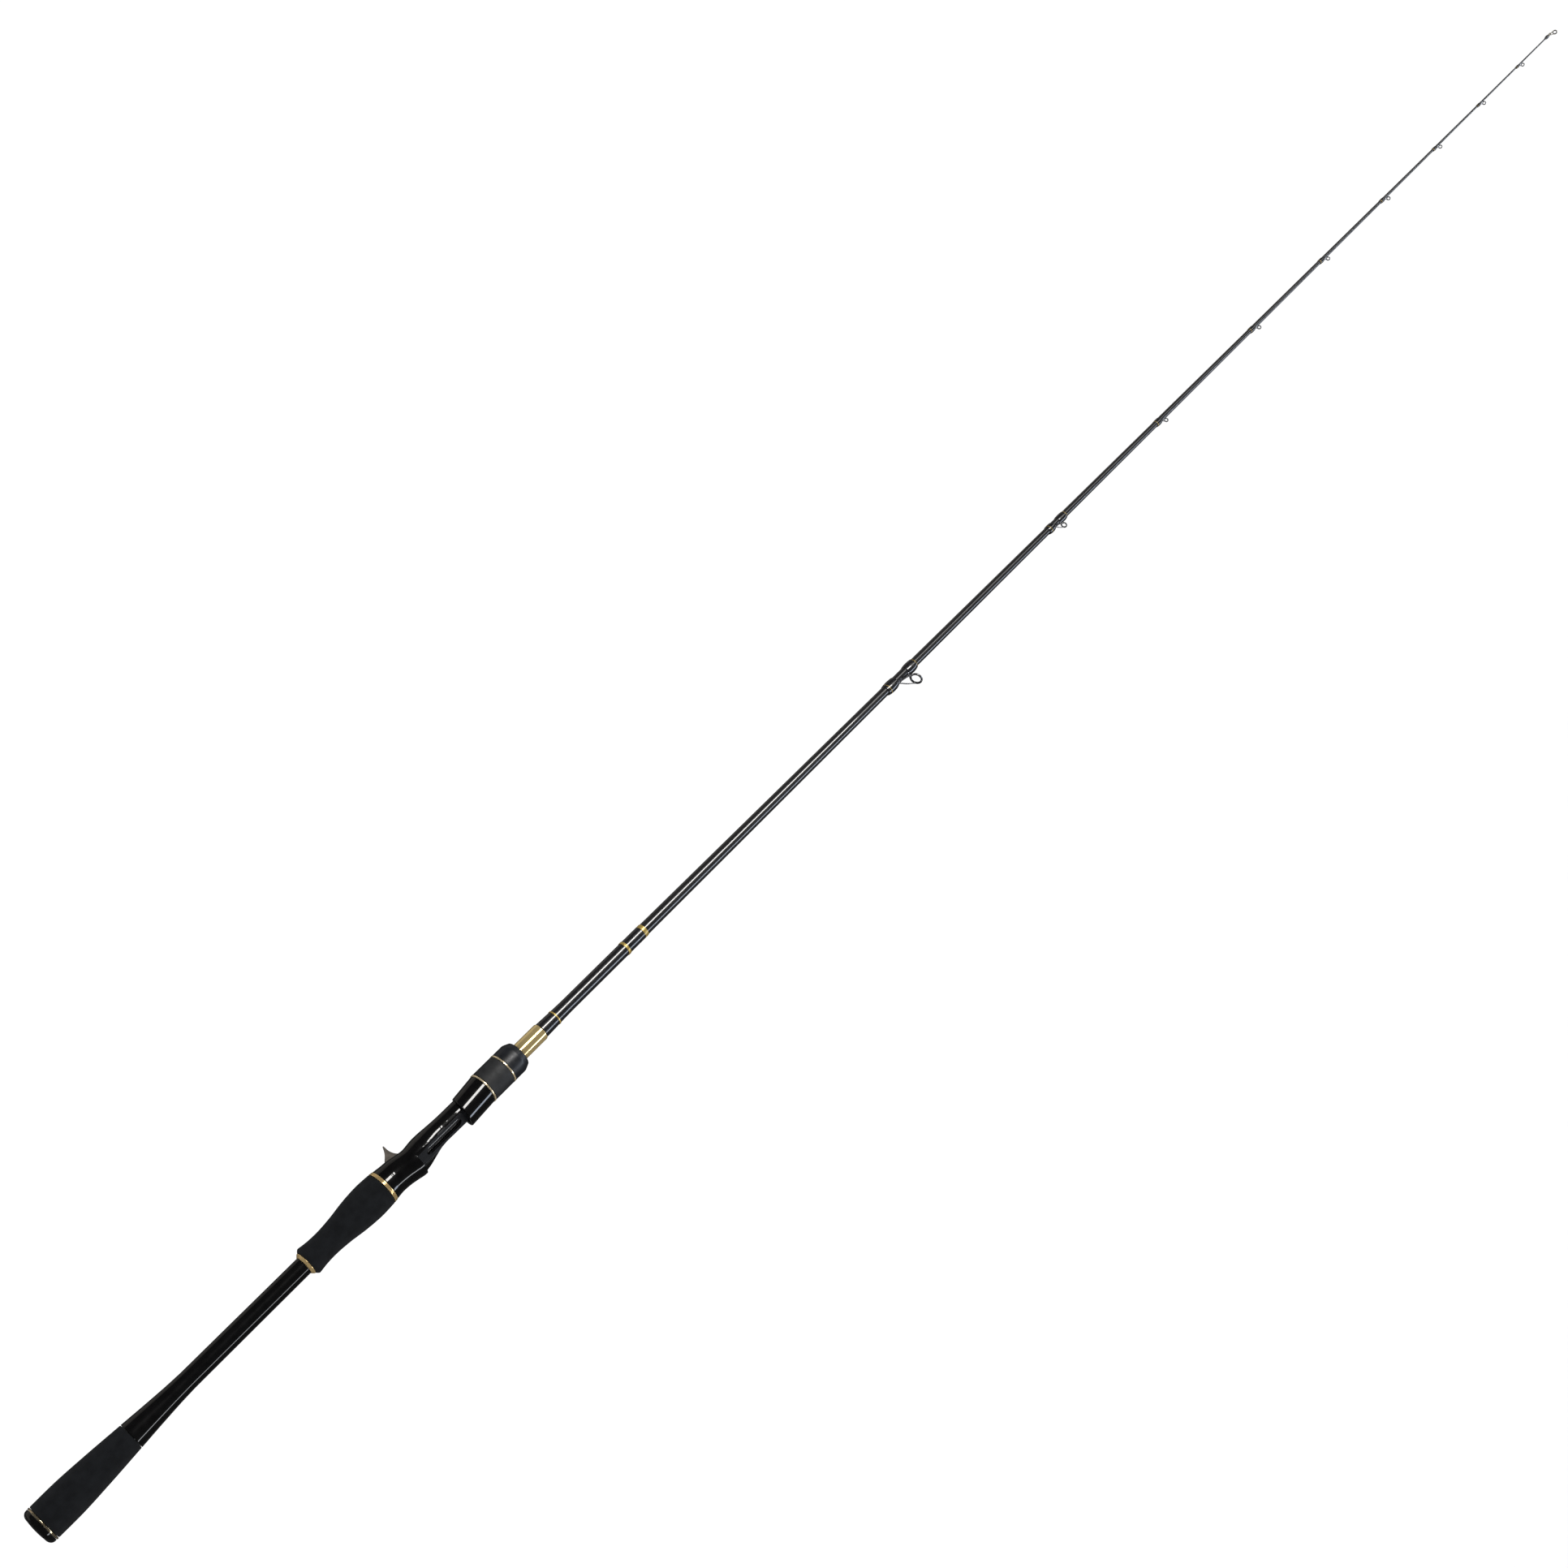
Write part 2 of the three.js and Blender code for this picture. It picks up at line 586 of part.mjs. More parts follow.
// Everything above the bed and its shoulders, the foot channel, the pocket and the window.
function bedCutters() {
  const high = hoodTop + 10;
  const low = mouthX - POCKET_DEPTH;
  const deck = sidePlate(
    [
      [mouthX, bedZ + SHOULDER_RISE],
      [mouthX + SHOULDER_LENGTH, bedZ],
      [bedEndX, bedZ],
      [bedEndX, pocketFloorZ],
      [barrelX, pocketFloorZ],
      [barrelX, high],
      [mouthX, high],
    ],
    hoodTop + 4,
  );
  const w = CHANNEL_HALF_WIDTH;
  const channelShape = new THREE.Shape([
    new THREE.Vector2(-w, bedZ),
    new THREE.Vector2(w, bedZ),
    new THREE.Vector2(w + CHANNEL_DRAFT, high),
    new THREE.Vector2(-w - CHANNEL_DRAFT, high),
  ]);
  const channel = crossPlate(channelShape, mouthX, mouthX + SHOULDER_LENGTH);
  const pocket = crossPlate(pocketShape(pocketFloorZ, bedZ + POCKET_HEIGHT), low, mouthX);
  const r = WINDOW_HALF_WIDTH;
  const slot = new THREE.Shape();
  const x0 = mouthX + WINDOW_START + r;
  const x1 = bedEndX - WINDOW_END_MARGIN - r;
  slot.absarc(x0, 0, r, Math.PI / 2, (3 * Math.PI) / 2);
  slot.absarc(x1, 0, r, -Math.PI / 2, Math.PI / 2);
  slot.closePath();
  const windowCut = new THREE.ExtrudeGeometry(slot, {
    depth: bedZ,
    bevelEnabled: false,
    curveSegments: 5,
  }).translate(0, 0, boreR / 2);
  return [deck, channel, pocket, windowCut].map(solid);
}

function threadedBarrel() {
  const root = rod(threadReliefX - CUT, barrelEndX, threadRootR, 2 * THREAD_STEPS_PER_TURN);
  const turns = (barrelEndX - THREAD_END_MARGIN - threadX) / THREAD_PITCH;
  return solid(root).add(solid(helixRidge(threadX, turns, threadRootR, 0)));
}

function triggerSaddleBlock(gap) {
  const x0 = seatX + TRIGGER_SADDLE_START - gap;
  const x1 = mouthX - TRIGGER_SADDLE_END + gap;
  const side = TRIGGER_SADDLE_HALF_WIDTH + gap;
  return solid(block(x0, x1, -side, side, -SEAT_REAR_R - gap - CUT, -TRIGGER_SADDLE_TOP));
}

function addReelSeat() {
  const outside = seatLoft(0);
  const saddle = (gap) =>
    seatLoft(1).intersect(triggerSaddleBlock(gap)).subtract(seatLoft(-TRIGGER_SKIN - gap));
  let body = outside.add(threadedBarrel());
  for (const cutter of bedCutters()) body = body.subtract(cutter);
  const keyway = block(
    barrelX - CUT,
    barrelEndX + CUT,
    -KEY_HALF_WIDTH - KEY_CLEARANCE,
    KEY_HALF_WIDTH + KEY_CLEARANCE,
    keywayZ,
    barrelR + THREAD_RIDGE_R + CUT,
  );
  const rearArborR = boreR + REAR_ARBOR_WALL;
  const bore = solid(rod(seatX - CUT, barrelEndX + CUT, boreR))
    .add(solid(rod(seatX - CUT, seatX + REAR_ARBOR_LENGTH + GAP, rearArborR + GAP)))
    .add(solid(rod(barrelEndX - FRONT_ARBOR_LENGTH - GAP, barrelEndX + CUT, arborR + GAP)));
  body = body.subtract(solid(keyway)).subtract(bore).subtract(saddle(GAP));
  add('reel_seat_body', geometryOf(body), GLOSS_BLACK);

  add('rear_arbor', plainTube(seatX, seatX + REAR_ARBOR_LENGTH, rearArborR, boreR), FOAM_CORE);
  const frontArborX = barrelEndX - FRONT_ARBOR_LENGTH;
  add('front_arbor', plainTube(frontArborX, barrelEndX, arborR, boreR), FOAM_CORE);

  const skin = outside.intersect(triggerSaddleBlock(0)).add(triggerHorn());
  add('trigger', geometryOf(skin.subtract(seatLoft(-TRIGGER_SKIN))), TRIGGER_GREY);
}

// The finger hook: an outline in the X-Z plane whose width shrinks towards the tip.
function triggerHorn() {
  const rootZ = -(waistR + 0.2);
  const tipX = mouthX - TRIGGER_TIP_SETBACK;
  const depth = TRIGGER_REACH + rootZ; // from the root to the tip
  const z = (share) => rootZ - share * depth;
  const rear = new THREE.SplineCurve([
    new THREE.Vector2(tipX - 12.5, -(SEAT_REAR_R - 2.6)),
    new THREE.Vector2(tipX - 9, z(0.36)),
    new THREE.Vector2(tipX - 4.4, z(0.62)),
    new THREE.Vector2(tipX - 0.9, z(0.97)),
  ]);
  const front = new THREE.SplineCurve([
    new THREE.Vector2(tipX + 0.3, z(0.97)),
    new THREE.Vector2(tipX - 0.3, z(0.62)),
    new THREE.Vector2(tipX + 0.4, z(0.3)),
    new THREE.Vector2(tipX + 2.6, z(0.05)),
  ]);
  const root = [new THREE.Vector2(tipX + 2, rootZ + 1.2), new THREE.Vector2(tipX - 4, rootZ + 1)];
  const tip = new THREE.Vector2(tipX - 0.2, z(1));
  const outline = [...rear.getPoints(8), tip, ...front.getPoints(6), ...root];
  const horn = new THREE.ExtrudeGeometry(new THREE.Shape(outline), {
    depth: 1,
    steps: 1,
    bevelEnabled: true,
    bevelThickness: 0.35,
    bevelSize: 0.5,
    bevelOffset: -0.5,
    bevelSegments: 2,
  });
  horn.translate(0, 0, -0.5).rotateX(Math.PI / 2);
  const position = horn.attributes.position;
  for (let i = 0; i < position.count; i += 1) {
    const share = THREE.MathUtils.clamp((rootZ - position.getZ(i)) / depth, 0, 1);
    const width = THREE.MathUtils.lerp(TRIGGER_WIDTH, TRIGGER_TIP_WIDTH, share);
    position.setY(i, (position.getY(i) * width) / 1.7);
  }
  return solid(horn);
}

// ---------------------------------------------------------------- moving hood and nut

const spigotX = hoodEndX - NUT_SPIGOT_LENGTH;
const snapGrooveX = spigotX + SNAP_GROOVE_OFFSET;
const snapGrooveEndX = snapGrooveX + SNAP_GROOVE_WIDTH;

function addMovingHood() {
  const stations = [0, 0.25, 0.5, 0.75, 1].map((share) => hoodX + share * HOOD_LENGTH);
  const shareOf = (x) => (x - hoodX) / HOOD_LENGTH;
  const radiusAt = (x, angle) => {
    const lift = HOOD_REAR_LIFT * (1 - shareOf(x));
    const r = THREE.MathUtils.lerp(hoodRearR, hoodFrontR, shareOf(x));
    return lift * Math.cos(angle) + Math.sqrt(r ** 2 - (lift * Math.sin(angle)) ** 2);
  };
  const slantAt = (x, angle) => (1 - shareOf(x)) * HOOD_SLANT * (0.5 - 0.5 * Math.cos(angle));
  const shell = solid(loft(stations, radiusAt, slantAt));

  const boreStart = hoodX - CUT;
  const pocketEnd = hoodX + HOOD_POCKET_DEPTH;
  const keyX = pocketEnd + KEY_START;
  const keyTop = hoodBoreR + CUT;
  const w = KEY_HALF_WIDTH;
  const key = block(keyX, keyX + KEY_LENGTH, -w, w, keywayZ + KEY_CLEARANCE, keyTop);
  const bore = solid(rod(boreStart, hoodEndX + CUT, hoodBoreR)).subtract(solid(key));
  const counterbore = solid(rod(spigotX - GAP, hoodEndX + CUT, nutSeatR));
  const groove = solid(rod(snapGrooveX, snapGrooveEndX, nutSeatR + SNAP_GROOVE_DEPTH));
  const roof = bedZ + POCKET_HEIGHT;
  const pocket = solid(crossPlate(pocketShape(pocketFloorZ, roof), boreStart, pocketEnd));
  const cutters = [bore, counterbore, groove, pocket];
  const hood = cutters.reduce((body, cutter) => body.subtract(cutter), shell);
  add('moving_hood', geometryOf(hood), GLOSS_BLACK);

  // Open snap ring that lets the nut turn in the hood and pulls the hood with it.
  const ringShape = new THREE.Shape();
  const innerR = nutCoreR - SNAP_GROOVE_DEPTH + 0.5 * GAP;
  const outerR = nutSeatR + SNAP_GROOVE_DEPTH - 0.5 * GAP;
  const half = SNAP_RING_SLIT / 2;
  ringShape.absarc(0, 0, outerR, half, 2 * Math.PI - half, false);
  ringShape.absarc(0, 0, innerR, 2 * Math.PI - half, half, true);
  ringShape.closePath();
  const ringEnds = [snapGrooveX + SNAP_RING_SIDE_GAP, snapGrooveEndX - SNAP_RING_SIDE_GAP];
  const ring = new THREE.ExtrudeGeometry(ringShape, {
    depth: ringEnds[1] - ringEnds[0],
    bevelEnabled: false,
    curveSegments: 16,
  });
  ring.rotateY(Math.PI / 2).rotateX(Math.PI / 2).translate(ringEnds[0], 0, 0);
  add('snap_ring', ring, SPRING_STEEL);
}

function addNut() {
  const skirtEnd = nutCapX + NUT_CAP_SKIRT;
  const grooveR = nutCoreR - SNAP_GROOVE_DEPTH;
  const core = sleeve(
    [
      [spigotX, nutCoreR],
      [snapGrooveX, nutCoreR],
      [snapGrooveX, grooveR],
      [snapGrooveEndX, grooveR],
      [snapGrooveEndX, nutCoreR],
      [skirtEnd, nutCoreR],
    ],
    nutBoreR,
    3 * THREAD_STEPS_PER_TURN,
  );
  const ridgeX = foregripX + NUT_RIDGE_START;
  const phase = Math.PI + (2 * Math.PI * (ridgeX - threadX)) / THREAD_PITCH; // half a turn off
  const ridge = solid(helixRidge(ridgeX, NUT_TURNS, nutBoreR + NUT_RIDGE_SINK, phase));
  const wallR = nutBoreR + NUT_CORE_WALL / 2;
  const crestR = threadRootR + NUT_CREST_CLEARANCE;
  const wall = solid(plainTube(spigotX, skirtEnd, wallR, crestR));
  add('nut_core', geometryOf(solid(core).add(ridge.intersect(wall))), DARK_PLASTIC);

  const trimR = foregripR + TRIM_PROUD;
  add('hood_trim_ring', plainTube(hoodRingX, hoodRingX + TRIM_WIDTH, trimR, nutSeatR), PALE_GOLD);
  add('nut_trim_ring', plainTube(nutRingX, nutRingX + TRIM_WIDTH, trimR, nutSeatR), PALE_GOLD);
  const bandEnd = foregripX + FOREGRIP_LENGTH;
  add('foregrip_band', plainTube(foregripX, bandEnd, foregripR, nutSeatR), SATIN_BAND);

  const holeR = pipeR + NUT_CAP_HOLE_CLEARANCE;
  const cap = turned([
    [nutCapX, nutSeatR],
    [nutCapX, foregripR],
    [nutCapEndX - NUT_CAP_CHAMFER, foregripR],
    [nutCapEndX - NUT_CAP_NOSE_EDGE, nutNoseR],
    [nutCapEndX, nutNoseR - NUT_CAP_NOSE_EDGE],
    [nutCapEndX, holeR],
    [nutCapEndX - NUT_CAP_FACE, holeR],
    [nutCapEndX - NUT_CAP_FACE, nutBoreR],
    [skirtEnd + GAP, nutBoreR],
    [skirtEnd + GAP, nutSeatR],
  ]);
  add('nut_front_cap', cap, SATIN_BLUE_BLACK);
}

// ---------------------------------------------------------------- pipe and label winding

function addFrontTrim() {
  const pipeEnd = pipeX + PIPE_LENGTH;
  const pipe = [[pipeX, pipeR], [pipeEnd - PIPE_EDGE, pipeR], [pipeEnd, pipeR - PIPE_EDGE]];
  add('collar_pipe', sleeve(pipe, boreR), PALE_GOLD);

  const innerR = BLANK_R + FINE_GAP;
  const endR = innerR + WINDING_WALL;
  const rearR = BLANK_R + WINDING_REAR_RISE;
  const stepR = THREE.MathUtils.lerp(endR, rearR, WINDING_STEP_SHARE);
  const outside = [
    [windingX, rearR],
    [windingX + WINDING_SHOULDER, stepR],
    [windingX + 2 * WINDING_SHOULDER, endR],
    [windingEndX, endR],
  ];
  add('label_winding', sleeve(outside, innerR), GLOSS_BLACK);

  const trim = (name, x, width, overR) => {
    const ringR = overR + FINE_GAP;
    add(name, plainTube(x, x + width, ringR + WINDING_TRIM_WALL, ringR), GOLD);
  };
  trim('winding_trim_rear', windingX + WINDING_SHOULDER, TRIM_WIDTH, stepR);
  trim('winding_trim_mid', windingX + WINDING_TRIM_MID, 2 * TRIM_WIDTH, endR);
  trim('winding_trim_front', windingEndX + FINE_GAP, 3 * TRIM_WIDTH, BLANK_R);
}

// ---------------------------------------------------------------- guides

// Each guide is drawn about its ring's place, spec.x, and moved there by its mesh.

// The side-on direction in which a leaning ring stands up from the blank.
const ringUp = new THREE.Vector3(Math.sin(GUIDE_LEAN), 0, Math.cos(GUIDE_LEAN));
const sideways = new THREE.Vector3(0, 1, 0);

// A turned ring, moved from the rod's axis to a guide's leaning ring place.
function placedRing(spec, profile) {
  return turned(profile, SMALL_ROUND).rotateY(GUIDE_LEAN).translate(0, 0, spec.centreZ);
}

function ringInsert(spec) {
  const w = spec.ringWidth / 2;
  const outerR = spec.ringR - spec.holderWall - FINE_GAP;
  const middle = (outerR + spec.ringHoleR) / 2;
  return placedRing(spec, [
    [-w, middle],
    [-w / 2, outerR],
    [w / 2, outerR],
    [w, middle],
    [0, spec.ringHoleR],
  ]);
}

function ringHolder(spec) {
  const w = spec.ringWidth * 0.35;
  const innerR = spec.ringR - spec.holderWall;
  return solid(placedRing(spec, [[-w, innerR], [-w, spec.ringR], [w, spec.ringR], [w, innerR]]));
}

// A point on the middle of a ring holder's wall, at an angle in degrees from its top.
function holderPoint(spec, degrees) {
  const angle = THREE.MathUtils.degToRad(degrees);
  const r = spec.ringR - spec.holderWall / 2;
  const up = ringUp.clone().multiplyScalar(r * Math.cos(angle));
  const side = sideways.clone().multiplyScalar(r * Math.sin(angle));
  return new THREE.Vector3(0, 0, spec.centreZ).add(up).add(side);
}

// A strip along the blank, thick towards the ring and thin at its far end.
function footPlate(spec, from, to) {
  const radius = Math.max(blankRadius(spec.x + from), blankRadius(spec.x + to));
  const base = radius + FOOT_LIFT;
  const rearHeight = spec.footHeight * (to <= 0 ? 0.45 : 1);
  const frontHeight = spec.footHeight * (to <= 0 ? 1 : 0.45);
  const outline = [[from, base], [to, base], [to, base + frontHeight], [from, base + rearHeight]];
  return solid(sidePlate(outline, spec.footWidth / 2));
}

// A thread wrap: a tube round the blank that bulges over the foot on the +Z side.
function wrapTube(spec, [from, to]) {
  const bulge = FOOT_LIFT + spec.footHeight + FINE_GAP;
  const baseR = blankRadius(spec.x + from) + FINE_GAP;
  const radiusAt = (wall) => (x, angle) =>
    baseR + wall + bulge * Math.max(0, Math.cos(angle)) ** 1.5;
  const outer = solid(loft([from, to], radiusAt(WRAP_WALL), () => 0, WRAP_ROUND));
  const inner = solid(loft([from - CUT, to + CUT], radiusAt(0), () => 0, WRAP_ROUND));
  return geometryOf(outer.subtract(inner));
}

// Height of the middle of a foot's thick end, where the wires leave it.
function rootHeight(spec, offset) {
  return blankRadius(spec.x + offset) + FOOT_LIFT + spec.footHeight / 2;
}

function doubleFootFrame(spec) {
  const rootX = spec.rearFoot[1];
  const frontX = spec.frontFoot[0];
  const pieces = [footPlate(spec, ...spec.rearFoot), footPlate(spec, ...spec.frontFoot)];
  for (const side of [-1, 1]) {
    const y = side * spec.footWidth * 0.22;
    const start = new THREE.Vector3(rootX - spec.wireR, y, rootHeight(spec, rootX));
    const end = holderPoint(spec, side * 105);
    const middle = start.clone().lerp(end, 0.5);
    middle.y += side * spec.ringR * 0.12;
    pieces.push(solid(wire([start, middle, end], spec.wireR, 3)));
  }
  const bottom = holderPoint(spec, 180);
  const landing = new THREE.Vector3(frontX + spec.wireR, 0, rootHeight(spec, frontX));
  const bend = bottom.clone().lerp(landing, 0.5);
  bend.x += 0.3 * spec.wireR;
  pieces.push(solid(wire([bottom, bend, landing], spec.wireR * 1.15, 2)));
  return pieces.reduce((frame, piece) => frame.add(piece), ringHolder(spec));
}

function singleFootFrame(spec) {
  const rootX = spec.foot[1];
  const pieces = [footPlate(spec, ...spec.foot)];
  for (const side of [-1, 1]) {
    const y = side * spec.footWidth * 0.22;
    const start = new THREE.Vector3(rootX - 1.5 * spec.wireR, y, rootHeight(spec, rootX));
    pieces.push(solid(wire([start, holderPoint(spec, side * 150)], spec.wireR, 1)));
  }
  return pieces.reduce((frame, piece) => frame.add(piece), ringHolder(spec));
}

function guidePlaces() {
  const total = GUIDE_SPACING.reduce((sum, step) => sum + step, 0);
  const span = tipRingX - FIRST_GUIDE_X;
  const places = [FIRST_GUIDE_X];
  for (const step of GUIDE_SPACING) places.push(places.at(-1) + (step / total) * span);
  return places.slice(0, -1);
}

function addGuides() {
  guidePlaces().forEach((x, i) => {
    const name = `guide_${i + 1}`;
    const double = DOUBLE_FOOT_GUIDES[i];
    const size = double ?? SINGLE_FOOT_GUIDE;
    const spec = { ...size, x, centreZ: blankRadius(x) + size.standoff };
    const frame = double ? doubleFootFrame(spec) : singleFootFrame(spec);
    add(`${name}_frame`, geometryOf(frame), GUIDE_BLACK, x);
    add(`${name}_ring`, ringInsert(spec), CERAMIC_RING, x);
    if (double) {
      add(`${name}_rear_wrap`, wrapTube(spec, spec.rearWrap), WRAP_EPOXY, x);
      add(`${name}_front_wrap`, wrapTube(spec, spec.frontWrap), WRAP_EPOXY, x);
    } else {
      add(`${name}_wrap`, wrapTube(spec, spec.wrap), WRAP_EPOXY, x);
    }
  });
}

// Tube glued over the blank's tip, with two arms and a stem that carry the last ring.
function addTipTop() {
  const spec = { ...TIP_TOP, x: tipRingX, centreZ: TIP_TOP.standoff };
  const tubeEnd = -spec.tubeToRing;
  const tubeStart = tubeEnd - spec.tubeLength;
  const holeR = blankRadius(spec.x + tubeStart) + FINE_GAP;
  const tubeR = holeR + spec.tubeWall;
  const hole = rod(tubeStart - CUT, blankEndX - spec.x + FINE_GAP, holeR, SMALL_ROUND);
  const tube = turned(
    [
      [tubeStart, 0],
      [tubeStart, tubeR],
      [tubeEnd - spec.tubeWall, tubeR],
      [tubeEnd, tubeR - spec.tubeWall],
      [tubeEnd, 0],
    ],
    SMALL_ROUND,
  );
  const pieces = [solid(tube).subtract(solid(hole))];
  for (const side of [-1, 1]) {
    const start = new THREE.Vector3(tubeEnd - 0.6, side * 0.5 * tubeR, 0.3 * tubeR);
    const end = holderPoint(spec, side * 110);
    const middle = start.clone().lerp(end, 0.5);
    middle.y += side * 0.3;
    pieces.push(solid(wire([start, middle, end], spec.wireR, 2)));
  }
  const stem = [new THREE.Vector3(tubeEnd - 0.5, 0, 0), holderPoint(spec, 180)];
  pieces.push(solid(wire(stem, spec.wireR, 1)));
  const frame = pieces.reduce((body, piece) => body.add(piece), ringHolder(spec));
  add('tip_top_frame', geometryOf(frame), GUIDE_GREY, spec.x);
  add('tip_top_ring', ringInsert(spec), CERAMIC_RING, spec.x);

  const wrapEnd = tubeStart + spec.wrapOverlap;
  const wrapR = tubeR + FINE_GAP;
  const wrap = plainTube(wrapEnd - spec.wrapLength, wrapEnd, wrapR + WRAP_WALL, wrapR, SMALL_ROUND);
  add('tip_top_wrap', wrap, WRAP_EPOXY, spec.x);
}

addBlank();
addButt();
addSleeve();
addMidGrip();
addReelSeat();
addMovingHood();
addNut();
addFrontTrim();
addGuides();
addTipTop();

export default part;
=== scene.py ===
"""Fine surfaces and finishes of a bait-casting rod with an empty trigger reel seat."""

import json

import bmesh
import bpy
import numpy as np
from bpy.props import FloatProperty, FloatVectorProperty, IntProperty, PointerProperty
from mathutils import Matrix, Quaternion, Vector


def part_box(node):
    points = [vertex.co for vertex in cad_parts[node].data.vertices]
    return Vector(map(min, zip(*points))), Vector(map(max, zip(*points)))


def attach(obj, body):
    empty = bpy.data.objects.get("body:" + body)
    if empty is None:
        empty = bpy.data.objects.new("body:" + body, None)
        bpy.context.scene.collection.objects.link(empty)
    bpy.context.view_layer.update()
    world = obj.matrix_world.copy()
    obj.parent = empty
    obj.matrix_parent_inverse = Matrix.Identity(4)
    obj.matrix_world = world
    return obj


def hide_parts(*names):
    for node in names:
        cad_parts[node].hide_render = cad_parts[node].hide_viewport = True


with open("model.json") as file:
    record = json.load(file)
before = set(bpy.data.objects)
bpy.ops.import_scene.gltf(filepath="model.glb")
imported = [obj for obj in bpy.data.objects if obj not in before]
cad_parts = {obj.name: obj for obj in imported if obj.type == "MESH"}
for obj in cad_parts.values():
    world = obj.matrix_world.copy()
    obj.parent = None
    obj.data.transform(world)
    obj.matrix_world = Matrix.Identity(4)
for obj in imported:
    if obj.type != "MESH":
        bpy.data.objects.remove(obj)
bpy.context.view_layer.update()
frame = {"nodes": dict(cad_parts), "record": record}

bl_info = {
    "name": "Casting rod finisher",
    "version": (1, 0, 0),
    "blender": (4, 5, 0),
    "location": "3D View > Sidebar > Casting rod",
    "description": "Builds the fine surfaces, finishes and studio of a trigger-seat casting rod",
    "category": "Object",
}

MM = 0.001  # metres in a millimetre: shapes are worked out in millimetres
FULL_TURN = 2 * np.pi

RECORD = frame["record"]
BODY_OF = {node: body for body, nodes in RECORD["behaviour"]["bodies"].items() for node in nodes}


# ---------------------------------------------------------------- sizes read from the frame


def span(node):
    """First and last place of a node along the rod and its radius across it, in millimetres."""
    low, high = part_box(node)
    return low.x / MM, high.x / MM, high.y / MM


def height(node):
    """Highest point of a node above the rod's axis, in millimetres."""
    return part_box(node)[1].z / MM


FIT = 0.3  # glue line between the pieces of the handle
FINE_FIT = 0.12  # the same on the guides
BLANK_R = span("blank")[2]
BORE_R = BLANK_R + FIT
TAPER_START = span("label_winding")[1]
BLANK_END = span("blank")[1]

SEAT_START, SEAT_END, SEAT_REAR_R = span("reel_seat_body")
SEAT_TOP = height("reel_seat_body")
HOOD_START, HOOD_END = span("moving_hood")[:2]
BAND_R = span("foregrip_band")[2]

# Reel seat, in millimetres from its rear end or from the fixed hood's mouth.
SEAT_REAR_LENGTH = 27.3
BED_LENGTH = 46.5
POCKET_FLAT_LENGTH = 11.5
BARREL_R = SEAT_TOP - 6.8
THREAD_ROOT_R = BARREL_R - 0.3
BED_Z = BORE_R + 1.05
POCKET_FLOOR_Z = BED_Z - 0.4
POCKET_ROOF_Z = BED_Z + 4.8
POCKET_HALF_WIDTH = 6.9
MOUTH_X = SEAT_START + SEAT_REAR_LENGTH
BED_END_X = MOUTH_X + BED_LENGTH
BARREL_X = BED_END_X + POCKET_FLAT_LENGTH
THREAD_X = BARREL_X + 12
THREAD_RELIEF = 2
THREAD_PITCH = 4
RIDGE_R = 0.7


def blank_radius(x):
    """Tip radius plus the rest of the butt radius times the share of the taper left, to a power."""
    left = np.clip((BLANK_END - x) / (BLANK_END - TAPER_START), 0, 1)
    taper = bpy.context.scene.rod_sizes.taper_power
    tip = bpy.context.scene.rod_sizes.tip_radius / MM
    return tip + (BLANK_R - tip) * left**taper


# ---------------------------------------------------------------- what a user may change


class RodSizes(bpy.types.PropertyGroup):
    """Fineness and small shapes of the rod's surfaces."""

    sides: IntProperty(
        name="Sides", description="Sides of the handle's turned pieces", default=96, min=24, max=192
    )
    guide_sides: IntProperty(
        name="Guide sides", description="Sides of the guides' rings", default=56, min=16, max=96
    )
    edge: FloatProperty(
        name="Edge", description="Reach of a rounded edge", default=0.0003, unit="LENGTH", precision=5
    )
    tip_radius: FloatProperty(
        name="Tip radius", description="Blank's radius at its tip", default=0.0009, unit="LENGTH",
        precision=5,
    )
    taper_power: FloatProperty(
        name="Taper", description="1 is a straight taper, more thins the tip sooner", default=1.2
    )
    wrap_wall: FloatProperty(
        name="Wrap", description="Epoxy over the blank at a small guide's foot", default=0.00035,
        unit="LENGTH", precision=5,
    )


def colour(name, description, default):
    return FloatVectorProperty(
        name=name, description=description, default=default, size=3, subtype="COLOR", min=0, max=1
    )


